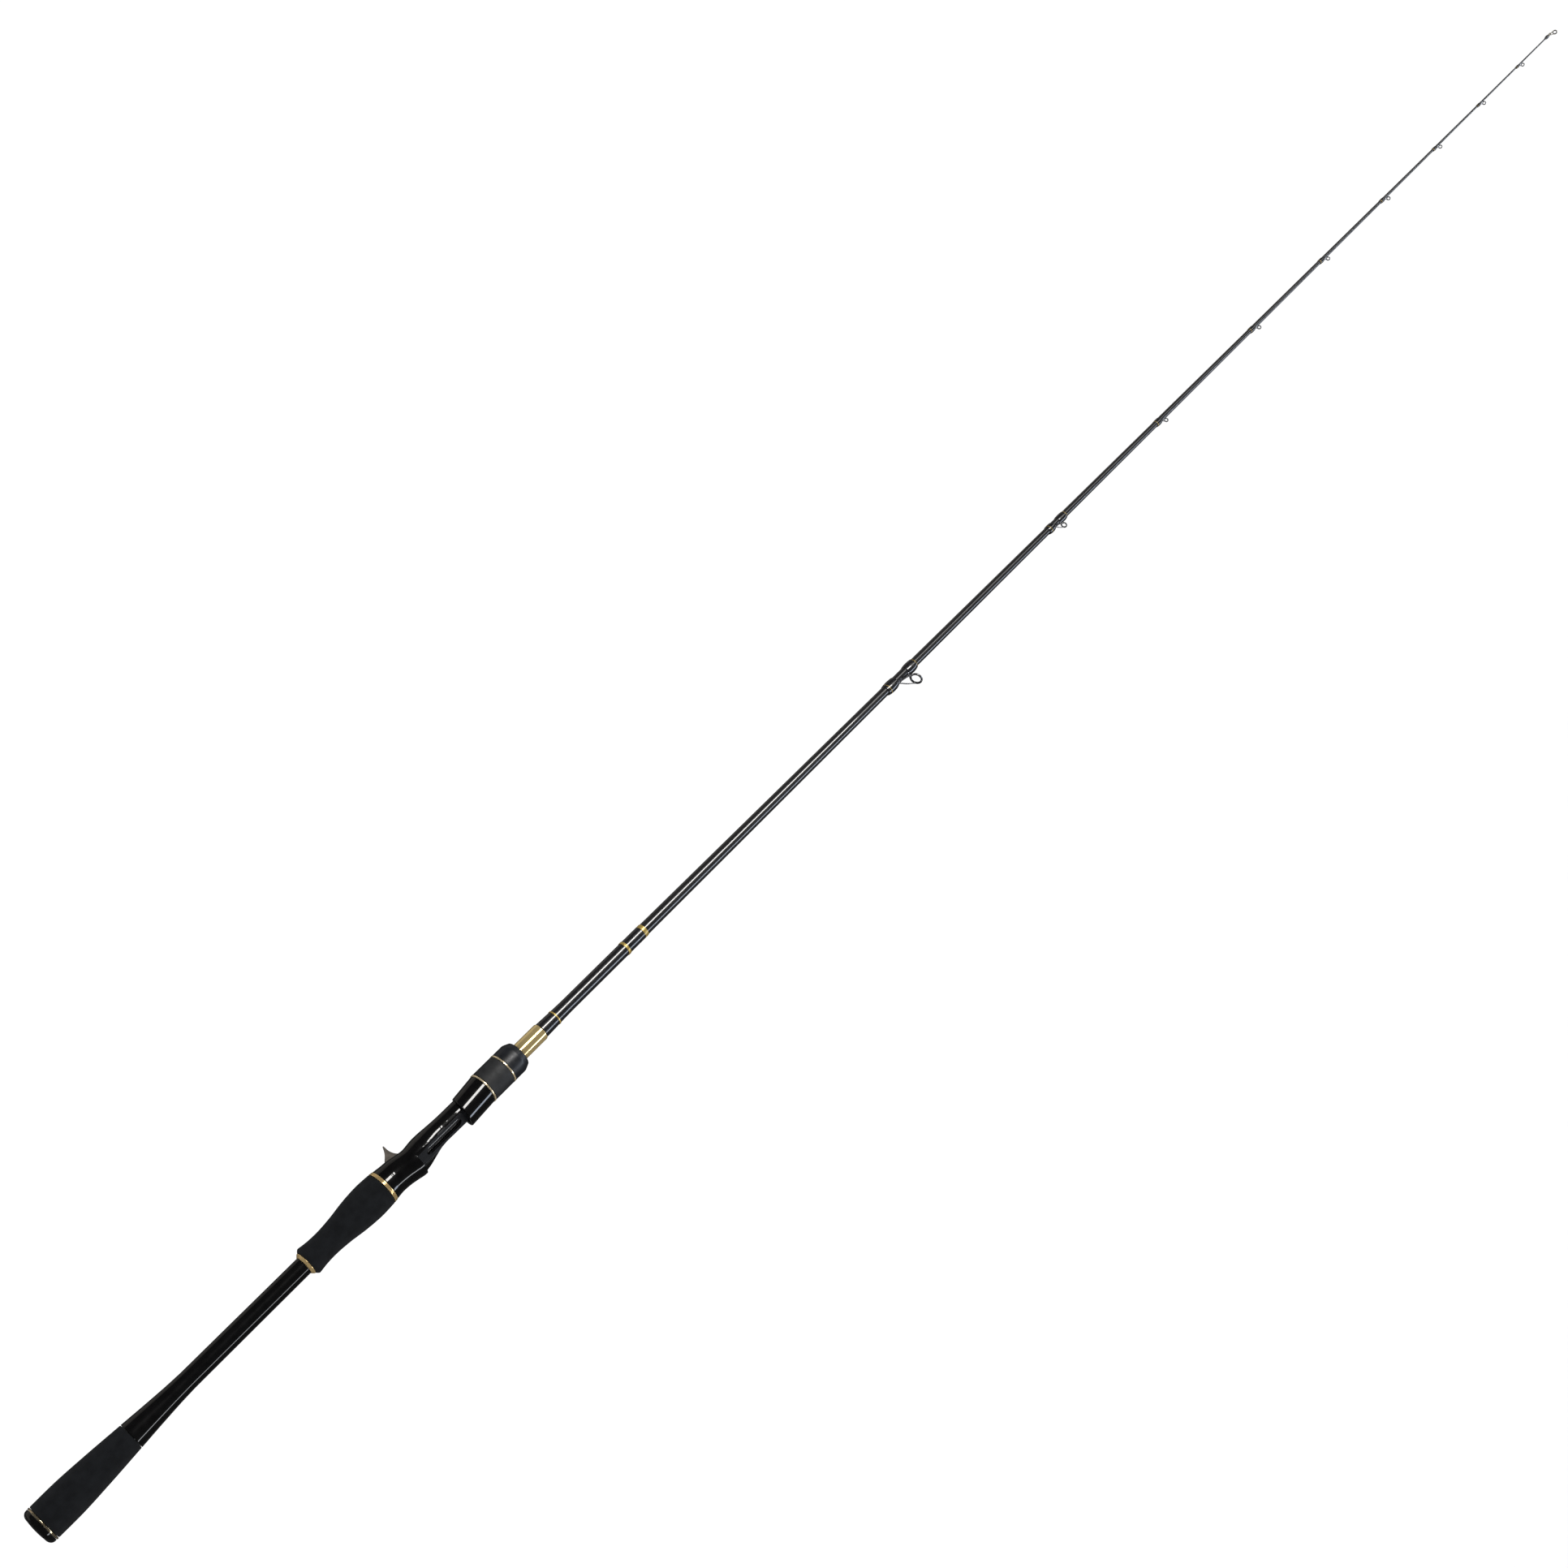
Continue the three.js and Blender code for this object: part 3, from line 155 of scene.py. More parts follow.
class RodColours(bpy.types.PropertyGroup):
    """Base colours of the rod's finishes."""

    carbon: colour("Carbon", "Clear-coated carbon blank", (0.0105, 0.0100, 0.0108))
    lacquer: colour("Lacquer", "Gloss black of the seat, sleeve and cap", (0.0018, 0.0017, 0.0019))
    foam: colour("Foam", "EVA grips", (0.0066, 0.0074, 0.0086))
    gold: colour("Gold", "Anodised trim rings", (0.80, 0.58, 0.27))
    pale_gold: colour("Pale gold", "Narrow trim rings", (0.90, 0.74, 0.48))
    gold_thread: colour("Gold thread", "Narrow bands of winding thread", (0.50, 0.35, 0.09))
    pipe: colour("Champagne", "Polished pipe in front of the nut", (0.88, 0.68, 0.32))
    band: colour("Band", "Soft-touch band of the locking nut", (0.0160, 0.0170, 0.0185))
    nut_cap: colour("Nut cap", "Satin cap of the locking nut", (0.0085, 0.0105, 0.0150))
    trigger: colour("Trigger", "Dull plastic of the trigger", (0.105, 0.088, 0.072))
    bed: colour("Bed", "Dull floor of the reel seat", (0.0095, 0.0105, 0.0135))
    guide: colour("Guide", "Dark metal of the guide frames", (0.27, 0.27, 0.28))
    tip_top: colour("Tip-top", "Grey metal of the tip-top's frame", (0.42, 0.38, 0.31))
    ceramic: colour("Ceramic", "Rings that the line runs through", (0.020, 0.021, 0.025))
    thread: colour("Thread", "Winding thread under its epoxy", (0.006, 0.006, 0.008))
    steel: colour("Steel", "Snap ring inside the hood", (0.55, 0.56, 0.58))
    plastic: colour("Plastic", "Core of the locking nut", (0.022, 0.022, 0.025))
    arbor: colour("Arbor", "Foam bushings inside the seat", (0.27, 0.27, 0.25))


class RodStudio(bpy.types.PropertyGroup):
    """Floor, lights and camera."""

    floor_drop: FloatProperty(
        name="Floor", description="Floor below the rod's axis", default=0.5, unit="LENGTH"
    )
    strip_distance: FloatProperty(
        name="Strip distance", description="Strip lights from the rod's axis", default=1.5,
        unit="LENGTH",
    )
    strips: FloatProperty(name="Strips", description="Times the strips' own brightness", default=1)
    ambient: FloatProperty(name="Ambient", description="White light all round", default=1.12)
    mirrored: FloatProperty(
        name="Mirrored", description="How bright the dark tent is in reflections", default=0.05
    )
    camera_place: FloatVectorProperty(
        name="Camera", description="Where the camera stands", default=(0.0361, 0.9801, 0.8224),
        subtype="TRANSLATION",
    )
    camera_aim: FloatVectorProperty(
        name="Aim", description="Point that the camera looks at", default=(0.77018, 0.0, -0.00569),
        subtype="TRANSLATION",
    )
    camera_roll: FloatProperty(
        name="Roll", description="Turn of the camera about its line of sight",
        default=float(np.radians(112.67)), subtype="ANGLE",
    )
    lens: FloatProperty(name="Lens", description="Focal length in millimetres", default=39.8)


# ---------------------------------------------------------------- curves and outlines


def flowing(at, places, values):
    """A smooth curve through a few points: between two of them, the cubic that has their values
    and, as its slopes, the average slopes there."""
    places, values = np.asarray(places, float), np.asarray(values, float)
    slopes = np.gradient(values, places)
    i = np.clip(np.searchsorted(places, at, side="right") - 1, 0, len(places) - 2)
    gap = places[i + 1] - places[i]
    t = np.clip((at - places[i]) / gap, 0, 1)
    start = (1 + 2 * t) * (1 - t) ** 2 * values[i] + t * (1 - t) ** 2 * gap * slopes[i]
    end = t**2 * (3 - 2 * t) * values[i + 1] - t**2 * (1 - t) * gap * slopes[i + 1]
    return start + end


def rounded(corners, reach, steps=5):
    """A closed outline whose corners are parabolas: each leaves one side of its corner and joins
    the other at the same reach, at most 0.45 of the shorter side."""
    p = np.asarray(corners, float)
    back, ahead = np.roll(p, 1, axis=0) - p, np.roll(p, -1, axis=0) - p
    back_length = np.linalg.norm(back, axis=1, keepdims=True)
    ahead_length = np.linalg.norm(ahead, axis=1, keepdims=True)
    reach = np.broadcast_to(np.asarray(reach, float), len(p))[:, None]
    reach = np.minimum(reach, 0.45 * np.minimum(back_length, ahead_length))
    start, end = p + back / back_length * reach, p + ahead / ahead_length * reach
    t = np.linspace(0, 1, steps)[None, :, None]
    curve = (1 - t) ** 2 * start[:, None] + 2 * t * (1 - t) * p[:, None] + t**2 * end[:, None]
    return curve.reshape(-1, 2)


def stations(x0, x1, count, edge, steps=6):
    """Evenly spread places from x0 to x1, with a quarter turn's worth of them at either edge."""
    ease = edge * (1 - np.cos(np.linspace(0, np.pi / 2, steps)))
    middle = np.linspace(x0 + edge, x1 - edge, count)[1:-1]
    return np.concatenate((x0 + ease, middle, (x1 - ease)[::-1]))


def eased(x, edge):
    """How much a surface drops near its two ends so that a quarter circle rounds each edge:
    edge times one minus the circle's height at that distance from the end."""
    distance = np.minimum(x - x[0], x[-1] - x)
    inward = 1 - np.clip(distance / edge, 0, 1)
    return edge * (1 - np.sqrt(np.clip(1 - inward**2, 0, 1)))


# ---------------------------------------------------------------- surfaces


def grid_faces(rows, columns, looped):
    """Quads between neighbours on a grid whose columns close; its rows close if looped."""
    i = np.arange(rows if looped else rows - 1)[:, None]
    j = np.arange(columns)[None, :]
    ahead = (i + 1) % rows
    beside = (j + 1) % columns
    quads = (i * columns + j, i * columns + beside, ahead * columns + beside, ahead * columns + j)
    return np.stack(np.broadcast_arrays(*quads), axis=-1).reshape(-1, 4)


def shell(points, looped):
    """A surface from a grid of points (rows, columns, 3)."""
    rows, columns = points.shape[:2]
    return points.reshape(-1, 3), grid_faces(rows, columns, looped)


def turned(profile, sides=None):
    """A closed profile of (x, r) turned about the rod's axis: y = r sin t, z = r cos t."""
    t = np.arange(sides or bpy.context.scene.rod_sizes.sides)
    t = t * FULL_TURN / len(t)
    x, r = np.asarray(profile, float).T
    points = (x[:, None] + 0 * t, r[:, None] * np.sin(t), r[:, None] * np.cos(t))
    return shell(np.stack(points, axis=-1), looped=True)


def tube(x, r, bore, sides=None):
    """A turned tube whose outside has radius r at the places x, round a straight bore."""
    outside = np.stack((x, r), axis=-1)
    return turned(np.vstack((outside, [[x[-1], bore], [x[0], bore]])), sides)


def ring(x0, x1, outer, inner, edge=None, sides=None):
    """A turned ring with rounded edges."""
    edge = bpy.context.scene.rod_sizes.edge / MM if edge is None else edge
    corners = [[x0, inner], [x0, outer], [x1, outer], [x1, inner]]
    return turned(rounded(corners, [0.5 * edge, edge, edge, 0.5 * edge]), sides)


def loft(x, radius, shift=None, sides=None):
    """A closed body along the rod: at place x and angle t from +Z its radius is radius(x, t), and
    its ends are flat, or slanted by shift(x, t)."""
    t = np.arange(sides or bpy.context.scene.rod_sizes.sides)
    t = (t * FULL_TURN / len(t))[None, :]
    x = np.asarray(x, float)[:, None]
    r = radius(x, t) + 0 * t
    along = x + 0 * t + (shift(x, t) if shift else 0)
    points = np.stack((along, r * np.sin(t), r * np.cos(t)), axis=-1)
    first, last = points[:1].mean(axis=1, keepdims=True), points[-1:].mean(axis=1, keepdims=True)
    capped = np.concatenate((first + 0 * points[:1], points, last + 0 * points[-1:]))
    return shell(capped, looped=False)


def swept(path, half_width, half_height, sides=20, squareness=2.0, reference=(0, 1, 0)):
    """A bar along a path: at each point an oval stands across the path, its half width towards
    the reference direction and its half height across that. Its two ends close in a point."""
    path = np.asarray(path, float)
    along = np.gradient(path, axis=0)
    along /= np.linalg.norm(along, axis=1, keepdims=True)
    rise = np.cross(along, np.asarray(reference, float))
    rise /= np.linalg.norm(rise, axis=1, keepdims=True)
    side = np.cross(rise, along)
    t = np.arange(sides) * FULL_TURN / sides
    u = np.sign(np.cos(t)) * np.abs(np.cos(t)) ** (2 / squareness)
    v = np.sign(np.sin(t)) * np.abs(np.sin(t)) ** (2 / squareness)
    width = np.broadcast_to(half_width, len(path))[:, None, None]
    depth = np.broadcast_to(half_height, len(path))[:, None, None]
    oval = width * u[None, :, None] * side[:, None] + depth * v[None, :, None] * rise[:, None]
    points = path[:, None] + oval
    ends = [np.repeat(path[k][None, None], sides, axis=1) for k in (0, -1)]
    return shell(np.concatenate((ends[0], points, ends[1])), looped=False)


def bent(points, steps):
    """A smooth path through a few points: each coordinate flows with the distance along them."""
    points = np.asarray(points, float)
    travelled = np.append(0, np.cumsum(np.linalg.norm(np.diff(points, axis=0), axis=1)))
    at = np.linspace(0, travelled[-1], steps)
    return np.stack([flowing(at, travelled, points[:, k]) for k in range(3)], axis=-1)


def prism(outline, plane, low, high):
    """A closed outline pushed straight from low to high. plane is "xz" for an outline of side
    view points pushed across the rod, "yz" for one pushed along it, "xy" for one pushed up."""
    outline = np.asarray(outline, float)
    a, b = outline.T
    ends = [np.full(len(a), value) for value in (low, high)]
    order = {"xz": (0, 2, 1), "yz": (1, 2, 0), "xy": (0, 1, 2)}[plane]
    points = np.empty((2, len(a), 3))
    for row, level in zip(points, ends):
        for axis, value in zip(order, (a, b, level)):
            row[:, axis] = value
    middle = points.mean(axis=1, keepdims=True) + 0 * points
    return shell(np.stack((middle[0], points[0], points[1], middle[1])), looped=False)


# ---------------------------------------------------------------- meshes and pieces


def mesh_of(name, shells):
    """One mesh from several closed shells, with doubles merged and faces turned outwards."""
    starts = np.cumsum([0] + [len(points) for points, _ in shells])
    points = np.vstack([points for points, _ in shells]) * MM
    faces = np.vstack([faces + start for (_, faces), start in zip(shells, starts)])
    mesh = bpy.data.meshes.new(name)
    mesh.from_pydata(points.tolist(), [], faces.tolist())
    work = bmesh.new()
    work.from_mesh(mesh)
    bmesh.ops.remove_doubles(work, verts=work.verts, dist=1e-3 * MM)
    bmesh.ops.dissolve_degenerate(work, edges=work.edges, dist=1e-3 * MM)
    bmesh.ops.recalc_face_normals(work, faces=work.faces)
    work.to_mesh(mesh)
    work.free()
    return mesh


def shown(name, mesh):
    made = bpy.data.objects.new(name, mesh)
    bpy.context.scene.collection.objects.link(made)
    return made


def combined(name, body, joined=(), cutters=()):
    """The mesh of a body with some shells joined to it and others cut from it."""
    base = shown(name, mesh_of(name, body))
    tools = [(shells, "UNION") for shells in joined] + [(cutter, "DIFFERENCE") for cutter in cutters]
    helpers = []
    for shells, operation in tools:
        tool = shown(f"{name}_tool", mesh_of(f"{name}_tool", shells))
        helpers.append(tool)
        step = base.modifiers.new("step", "BOOLEAN")
        step.operation, step.object, step.solver = operation, tool, "EXACT"
    bpy.context.view_layer.update()
    result = bpy.data.meshes.new_from_object(base.evaluated_get(bpy.context.evaluated_depsgraph_get()))
    for helper in [base, *helpers]:
        bpy.data.objects.remove(helper)
    return result


def add_piece(node, mesh, material, sharp=32, stands_for=True, name=None):
    """Shows a mesh for a CAD node, on that node's body and with its material slot."""
    mesh.materials.clear()
    mesh.materials.append(material)
    mesh.shade_smooth()
    mesh.set_sharp_from_angle(angle=float(np.radians(sharp)))
    piece = shown(name or f"{node}_surface", mesh)
    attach(piece, BODY_OF[node])
    if stands_for:
        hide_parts(node)
    return piece


def add_turned(node, *shells, material, **rest):
    return add_piece(node, mesh_of(node, list(shells)), material, **rest)


# ---------------------------------------------------------------- finishes


class Finish:
    """A material whose nodes read the object's own coordinates."""

    def __init__(self, name, **sockets):
        self.material = bpy.data.materials.new(name)
        self.material.use_nodes = True
        self.tree = self.material.node_tree
        self.shader = self.tree.nodes["Principled BSDF"]
        for socket, value in sockets.items():
            self.shader.inputs[socket.replace("_", " ")].default_value = value

    def node(self, kind, **settings):
        node = self.tree.nodes.new(kind)
        for key, value in settings.items():
            if key in node.inputs.keys():
                node.inputs[key].default_value = value
            else:
                setattr(node, key, value)
        return node

    def link(self, output, target):
        self.tree.links.new(output, target)

    def place(self, scale=(1, 1, 1), turn=(0, 0, 0)):
        """The object's coordinates, stretched along the rod or across it."""
        source = self.node("ShaderNodeTexCoord")
        mapping = self.node("ShaderNodeMapping", Scale=scale, Rotation=turn)
        self.link(source.outputs["Object"], mapping.inputs["Vector"])
        return mapping.outputs["Vector"]

    def noise(self, scale, detail=3.0, stretch=(1, 1, 1)):
        noise = self.node("ShaderNodeTexNoise", Scale=scale, Detail=detail)
        self.link(self.place(stretch), noise.inputs["Vector"])
        return noise.outputs["Fac"]

    def spread(self, value, low, high, start=0.3, end=0.7):
        """A pattern's value carried from start..end to low..high."""
        ranged = self.node("ShaderNodeMapRange")
        for socket, number in zip(("From Min", "From Max", "To Min", "To Max"), (start, end, low, high)):
            ranged.inputs[socket].default_value = number
        self.link(value, ranged.inputs["Value"])
        return ranged.outputs["Result"]

    def tint(self, value, dark, light):
        """Base colour between two shades as a pattern says."""
        ramp = self.node("ShaderNodeValToRGB")
        ramp.color_ramp.elements[0].position, ramp.color_ramp.elements[1].position = 0.35, 0.65
        ramp.color_ramp.elements[0].color = (*dark, 1)
        ramp.color_ramp.elements[1].color = (*light, 1)
        self.link(value, ramp.inputs["Fac"])
        self.link(ramp.outputs["Color"], self.shader.inputs["Base Color"])

    def rough(self, value, low, high):
        self.link(self.spread(value, low, high), self.shader.inputs["Roughness"])

    def bump(self, value, height_mm, socket="Normal", strength=1.0):
        bump = self.node("ShaderNodeBump", Strength=strength, Distance=height_mm * MM)
        self.link(value, bump.inputs["Height"])
        self.link(bump.outputs["Normal"], self.shader.inputs[socket])


def shaded(base, factor):
    return tuple(min(1.0, channel * factor) for channel in base)


def lacquer(name, base, coat_roughness=0.025):
    """Gloss lacquer: near-black colour with faint clouds under a hard clear coat that has a
    slight orange peel."""
    finish = Finish(name, Coat_Weight=1.0, Coat_Roughness=coat_roughness, Specular_IOR_Level=0.05)
    cloud = finish.noise(180, 4)
    finish.tint(cloud, shaded(base, 0.75), shaded(base, 1.35))
    finish.rough(cloud, 0.22, 0.34)
    finish.bump(finish.noise(420, 2), 0.006, "Coat Normal", 0.35)
    return finish.material


def foam(base):
    """Closed-cell foam: fine pores, faint mottling and a soft sheen at grazing light."""
    finish = Finish("eva_foam", Sheen_Weight=0.02, Sheen_Roughness=0.6, Specular_IOR_Level=0.06)
    mottle = finish.noise(160, 4)
    finish.tint(mottle, shaded(base, 0.8), shaded(base, 1.25))
    finish.rough(finish.noise(900, 2), 0.86, 0.97)
    pores = finish.node("ShaderNodeTexVoronoi", Scale=2100.0)
    finish.link(finish.place(), pores.inputs["Vector"])
    finish.bump(pores.outputs["Distance"], 0.09, strength=0.6)
    return finish.material


def wire_metal(name, base):
    """Bent and polished wire: an even fine grain under a dark plating."""
    finish = Finish(name, Metallic=0.85)
    finish.tint(finish.noise(700, 3), shaded(base, 0.8), shaded(base, 1.15))
    grain = finish.noise(2600, 2)
    finish.rough(grain, 0.2, 0.3)
    finish.bump(grain, 0.002, strength=0.2)
    return finish.material


def metal(name, base, low=0.16, high=0.28, metallic=0.7):
    """Turned metal: fine lathe lines round the rod, a slightly uneven gloss and a faint patina."""
    finish = Finish(name, Metallic=metallic)
    finish.tint(finish.noise(500, 3), shaded(base, 0.86), shaded(base, 1.06))
    lathe = finish.noise(700, 2, stretch=(9, 0.6, 0.6))
    finish.rough(lathe, low, high)
    finish.bump(lathe, 0.003, strength=0.25)
    return finish.material


def metal_thread(name, base):
    """A few turns of metallic thread side by side, sealed by a thin glossy coat."""
    finish = Finish(name, Metallic=0.5, Coat_Weight=0.5, Coat_Roughness=0.06)
    turns = finish.node("ShaderNodeTexWave", Scale=1.0, Distortion=0.0, bands_direction="X")
    finish.link(finish.place((1500, 1, 1)), turns.inputs["Vector"])
    finish.tint(turns.outputs["Fac"], shaded(base, 0.55), shaded(base, 1.25))
    finish.rough(finish.noise(700, 2), 0.3, 0.45)
    finish.bump(turns.outputs["Fac"], 0.03, strength=0.6)
    return finish.material


def drawn_metal(base):
    """Polished tube: long faint drawing lines along the rod."""
    finish = Finish("champagne_pipe", Metallic=0.72)
    finish.tint(finish.noise(240, 3), shaded(base, 0.93), shaded(base, 1.04))
    drawn = finish.noise(900, 2, stretch=(0.02, 1, 1))
    finish.rough(drawn, 0.10, 0.14)
    return finish.material


def satin(name, base, low, high, grain=1500, depth=0.02, metallic=0.0, specular=0.5):
    """Moulded plastic: a fine matt grain with slow clouds of gloss."""
    finish = Finish(name, Metallic=metallic, Specular_IOR_Level=specular)
    finish.tint(finish.noise(220, 4), shaded(base, 0.82), shaded(base, 1.2))
    finish.rough(finish.noise(300, 3), low, high)
    finish.bump(finish.noise(grain, 2), depth, strength=0.5)
    return finish.material


def carbon(base):
    """Sanded carbon under a clear coat: long fibres along the rod, crossed by the faint spiral
    of the wrapping tape."""
    finish = Finish("carbon_blank", Coat_Weight=1.0, Coat_Roughness=0.03, Specular_IOR_Level=0.3)
    fibres = finish.noise(1400, 3, stretch=(0.02, 1, 1))
    finish.tint(fibres, shaded(base, 0.7), shaded(base, 1.5))
    finish.rough(fibres, 0.28, 0.42)
    tape = finish.node("ShaderNodeTexWave", Scale=9.0, Distortion=0.4, bands_direction="X")
    finish.link(finish.place((6, 1, 1), (0, 0, 0.3)), tape.inputs["Vector"])
    finish.bump(tape.outputs["Fac"], 0.003, "Normal", 0.3)
    return finish.material


def thread_epoxy(name, base):
    """Winding thread seen through epoxy: turns of thread side by side under a smooth coat."""
    finish = Finish(name, Coat_Weight=1.0, Coat_Roughness=0.02, Specular_IOR_Level=0.4)
    turns = finish.node("ShaderNodeTexWave", Scale=1.0, Distortion=0.0, bands_direction="X")
    finish.link(finish.place((1100, 1, 1)), turns.inputs["Vector"])
    finish.tint(turns.outputs["Fac"], shaded(base, 0.6), shaded(base, 1.7))
    finish.rough(finish.noise(400, 2), 0.25, 0.4)
    finish.bump(turns.outputs["Fac"], 0.02, "Normal", 0.5)
    finish.bump(finish.noise(260, 2), 0.02, "Coat Normal", 0.3)
    return finish.material


def ceramic(base):
    """Polished ring ceramic: very smooth, with faint grain."""
    finish = Finish("ring_ceramic", Coat_Weight=0.6, Coat_Roughness=0.02)
    finish.tint(finish.noise(1800, 2), shaded(base, 0.8), shaded(base, 1.25))
    finish.rough(finish.noise(600, 2), 0.08, 0.16)
    finish.bump(finish.noise(2200, 2), 0.002, strength=0.2)
    return finish.material


# ---------------------------------------------------------------- operators: the handle


class PieceOperator:
    """What the rod's operators share."""

    bl_options = {"REGISTER", "UNDO"}

    @property
    def colours(self):
        return bpy.context.scene.rod_colours


class ROD_OT_inner_parts(PieceOperator, bpy.types.Operator):
    """Gives the sealed pieces inside the seat and nut their finishes"""

    bl_idname = "rod.inner_parts"
    bl_label = "Inner parts"

    def execute(self, context):
        shades = self.colours
        looks = {
            "rear_arbor": satin("arbor_foam_rear", shades.arbor, 0.85, 0.95, 2600, 0.08),
            "front_arbor": satin("arbor_foam_front", shades.arbor, 0.85, 0.95, 2600, 0.08),
            "snap_ring": metal("spring_steel", shades.steel, 0.2, 0.32),
            "nut_core": satin("nut_plastic", shades.plastic, 0.4, 0.55),
        }
        for node, look in looks.items():
            mesh = frame["nodes"][node].data
            mesh.materials.clear()
            mesh.materials.append(look)
        return {"FINISHED"}


class ROD_OT_blank(PieceOperator, bpy.types.Operator):
    """Makes the tapered carbon blank"""

    bl_idname = "rod.blank"
    bl_label = "Blank"

    WALL = 1.1
    TIP_WALL = 0.45

    def execute(self, context):
        start = span("blank")[0]
        x = np.concatenate(([start], np.linspace(TAPER_START, BLANK_END, 240)))
        outside = np.stack((x, blank_radius(x)), axis=-1)
        wall = np.interp(x, (start, BLANK_END), (self.WALL, self.TIP_WALL))
        inside = np.stack((x, blank_radius(x) - wall), axis=-1)[::-1]
        body = turned(np.vstack((outside, inside)), 48)
        add_turned("blank", body, material=carbon(self.colours.carbon))
        return {"FINISHED"}


class ROD_OT_butt(PieceOperator, bpy.types.Operator):
    """Makes the glossy butt cap and the narrow ring in front of it"""

    bl_idname = "rod.butt"
    bl_label = "Butt cap and ring"

    CAP_LENGTH = 5
    CORNER_ALONG = 3.6
    CORNER_ACROSS = 4.6
    CAP_DOME = 0.5

    def execute(self, context):
        x0, x1, r = span("butt_cap")
        spigot = BLANK_R - ROD_OT_blank.WALL - FIT
        face = x0 + self.CAP_LENGTH
        a = np.linspace(0, np.pi / 2, 17)  # the outer corner is a quarter of an oval
        corner = np.stack((
            x0 + self.CAP_DOME + self.CORNER_ALONG * (1 - np.cos(a)),
            r - self.CORNER_ACROSS * (1 - np.sin(a)),
        ), axis=-1)
        share = np.linspace(0, 1, 9)[:-1]
        dome = np.stack((x0 + self.CAP_DOME * share**2, corner[0, 1] * share), axis=-1)
        rest = [[face, r], [face, spigot], [x1 - 0.6, spigot], [x1, spigot - 0.6], [x1, 0]]
        profile = np.vstack((dome, corner, rest))
        black = lacquer("gloss_black_cap", self.colours.lacquer)
        add_turned("butt_cap", turned(profile), material=black)

        x0, x1, r = span("butt_trim_ring")
        # The butt ring is the same pale gold as the other trim rings; taking its colour down to 0.8 is painted shade
        # that stands in for the dark surroundings it mirrors.
        pale = metal("pale_gold_butt_painted_shade", shaded(self.colours.pale_gold, 0.8), 0.1, 0.18, metallic=0.95)
        add_turned("butt_trim_ring", ring(x0, x1, r, BORE_R), material=pale)
        return {"FINISHED"}


class ROD_OT_foam_grips(PieceOperator, bpy.types.Operator):
    """Makes the two foam grips behind the reel seat"""

    bl_idname = "rod.foam_grips"
    bl_label = "Foam grips"

    BUTT_END_R = 10.15
    EDGE = 0.7
    CHAMFER = 2
    WAIST_R = 10.25
    BELLY_R = 14.15
    REAR_R = 11.45
    REAR_FACE_R = 9.5

    def butt_grip(self, look):
        x0, x1, r = span("butt_grip")
        x = stations(x0, x1, 60, self.EDGE)
        share = (x - x0) / (x1 - x0)
        fall = r - self.BUTT_END_R
        outside = flowing(share, (0, 0.28, 0.6, 1), (r, r, r - 0.37 * fall, self.BUTT_END_R))
        return add_turned("butt_grip", tube(x, outside - eased(x, self.EDGE), BORE_R), material=look)

    def mid_grip(self, look):
        x0, x1, _ = span("mid_grip")
        end_r = span("seat_rear_ring")[2]
        x = stations(x0, x1, 90, self.EDGE)
        share = (x - x0) / (x1 - x0)
        chamfer = self.CHAMFER / (x1 - x0)
        outside = flowing(
            share,
            (chamfer, 0.12, 0.25, 0.43, 0.63, 0.84, 1),
            (
                self.REAR_R,
                self.WAIST_R + 0.35,
                self.WAIST_R,
                self.WAIST_R + 0.9,
                self.BELLY_R - 1,
                self.BELLY_R,
                end_r,
            ),
        )
        drop = np.clip(1 - share / chamfer, 0, 1)
        outside = outside - (self.REAR_R - self.REAR_FACE_R) * drop**1.5
        front_edge = np.where(x > (x0 + x1) / 2, eased(x, self.EDGE), 0)
        return add_turned("mid_grip", tube(x, outside - front_edge, BORE_R), material=look)

    def execute(self, context):
        look = foam(self.colours.foam)
        self.butt_grip(look)  # firm foam
        self.mid_grip(look)
        return {"FINISHED"}


class ROD_OT_rear_sleeve(PieceOperator, bpy.types.Operator):
    """Makes the flared black sleeve between the grips and its gold cone ring"""

    bl_idname = "rod.rear_sleeve"
    bl_label = "Rear sleeve"

    FLARE_LENGTH = 48
    SLEEVE_R = 7.0

    def execute(self, context):
        x0, x1, flare_r = span("rear_sleeve")
        x = np.concatenate((stations(x0, x0 + self.FLARE_LENGTH, 40, 0.3)[:-6], [x1 - 0.3, x1]))
        flare = flare_r - self.SLEEVE_R
        share = (x - x0) / self.FLARE_LENGTH
        outside = self.SLEEVE_R + flowing(share, (0, 0.4, 0.72, 1), (flare, 0.51 * flare, 0.18 * flare, 0))
        outside -= np.where(x < x0 + 1, eased(x, 0.3), 0)
        black = lacquer("gloss_black_sleeve", self.colours.lacquer)
        add_turned("rear_sleeve", tube(x, outside, BORE_R), material=black)

        x0, x1, r = span("rear_trim_ring")
        corners = [[x0, BORE_R], [x0, self.SLEEVE_R + 0.6], [x1 - 0.5, r], [x1, r], [x1, BORE_R]]
        gold = metal("gold_cone", self.colours.gold)
        add_turned("rear_trim_ring", turned(rounded(corners, 0.25)), material=gold)
        return {"FINISHED"}


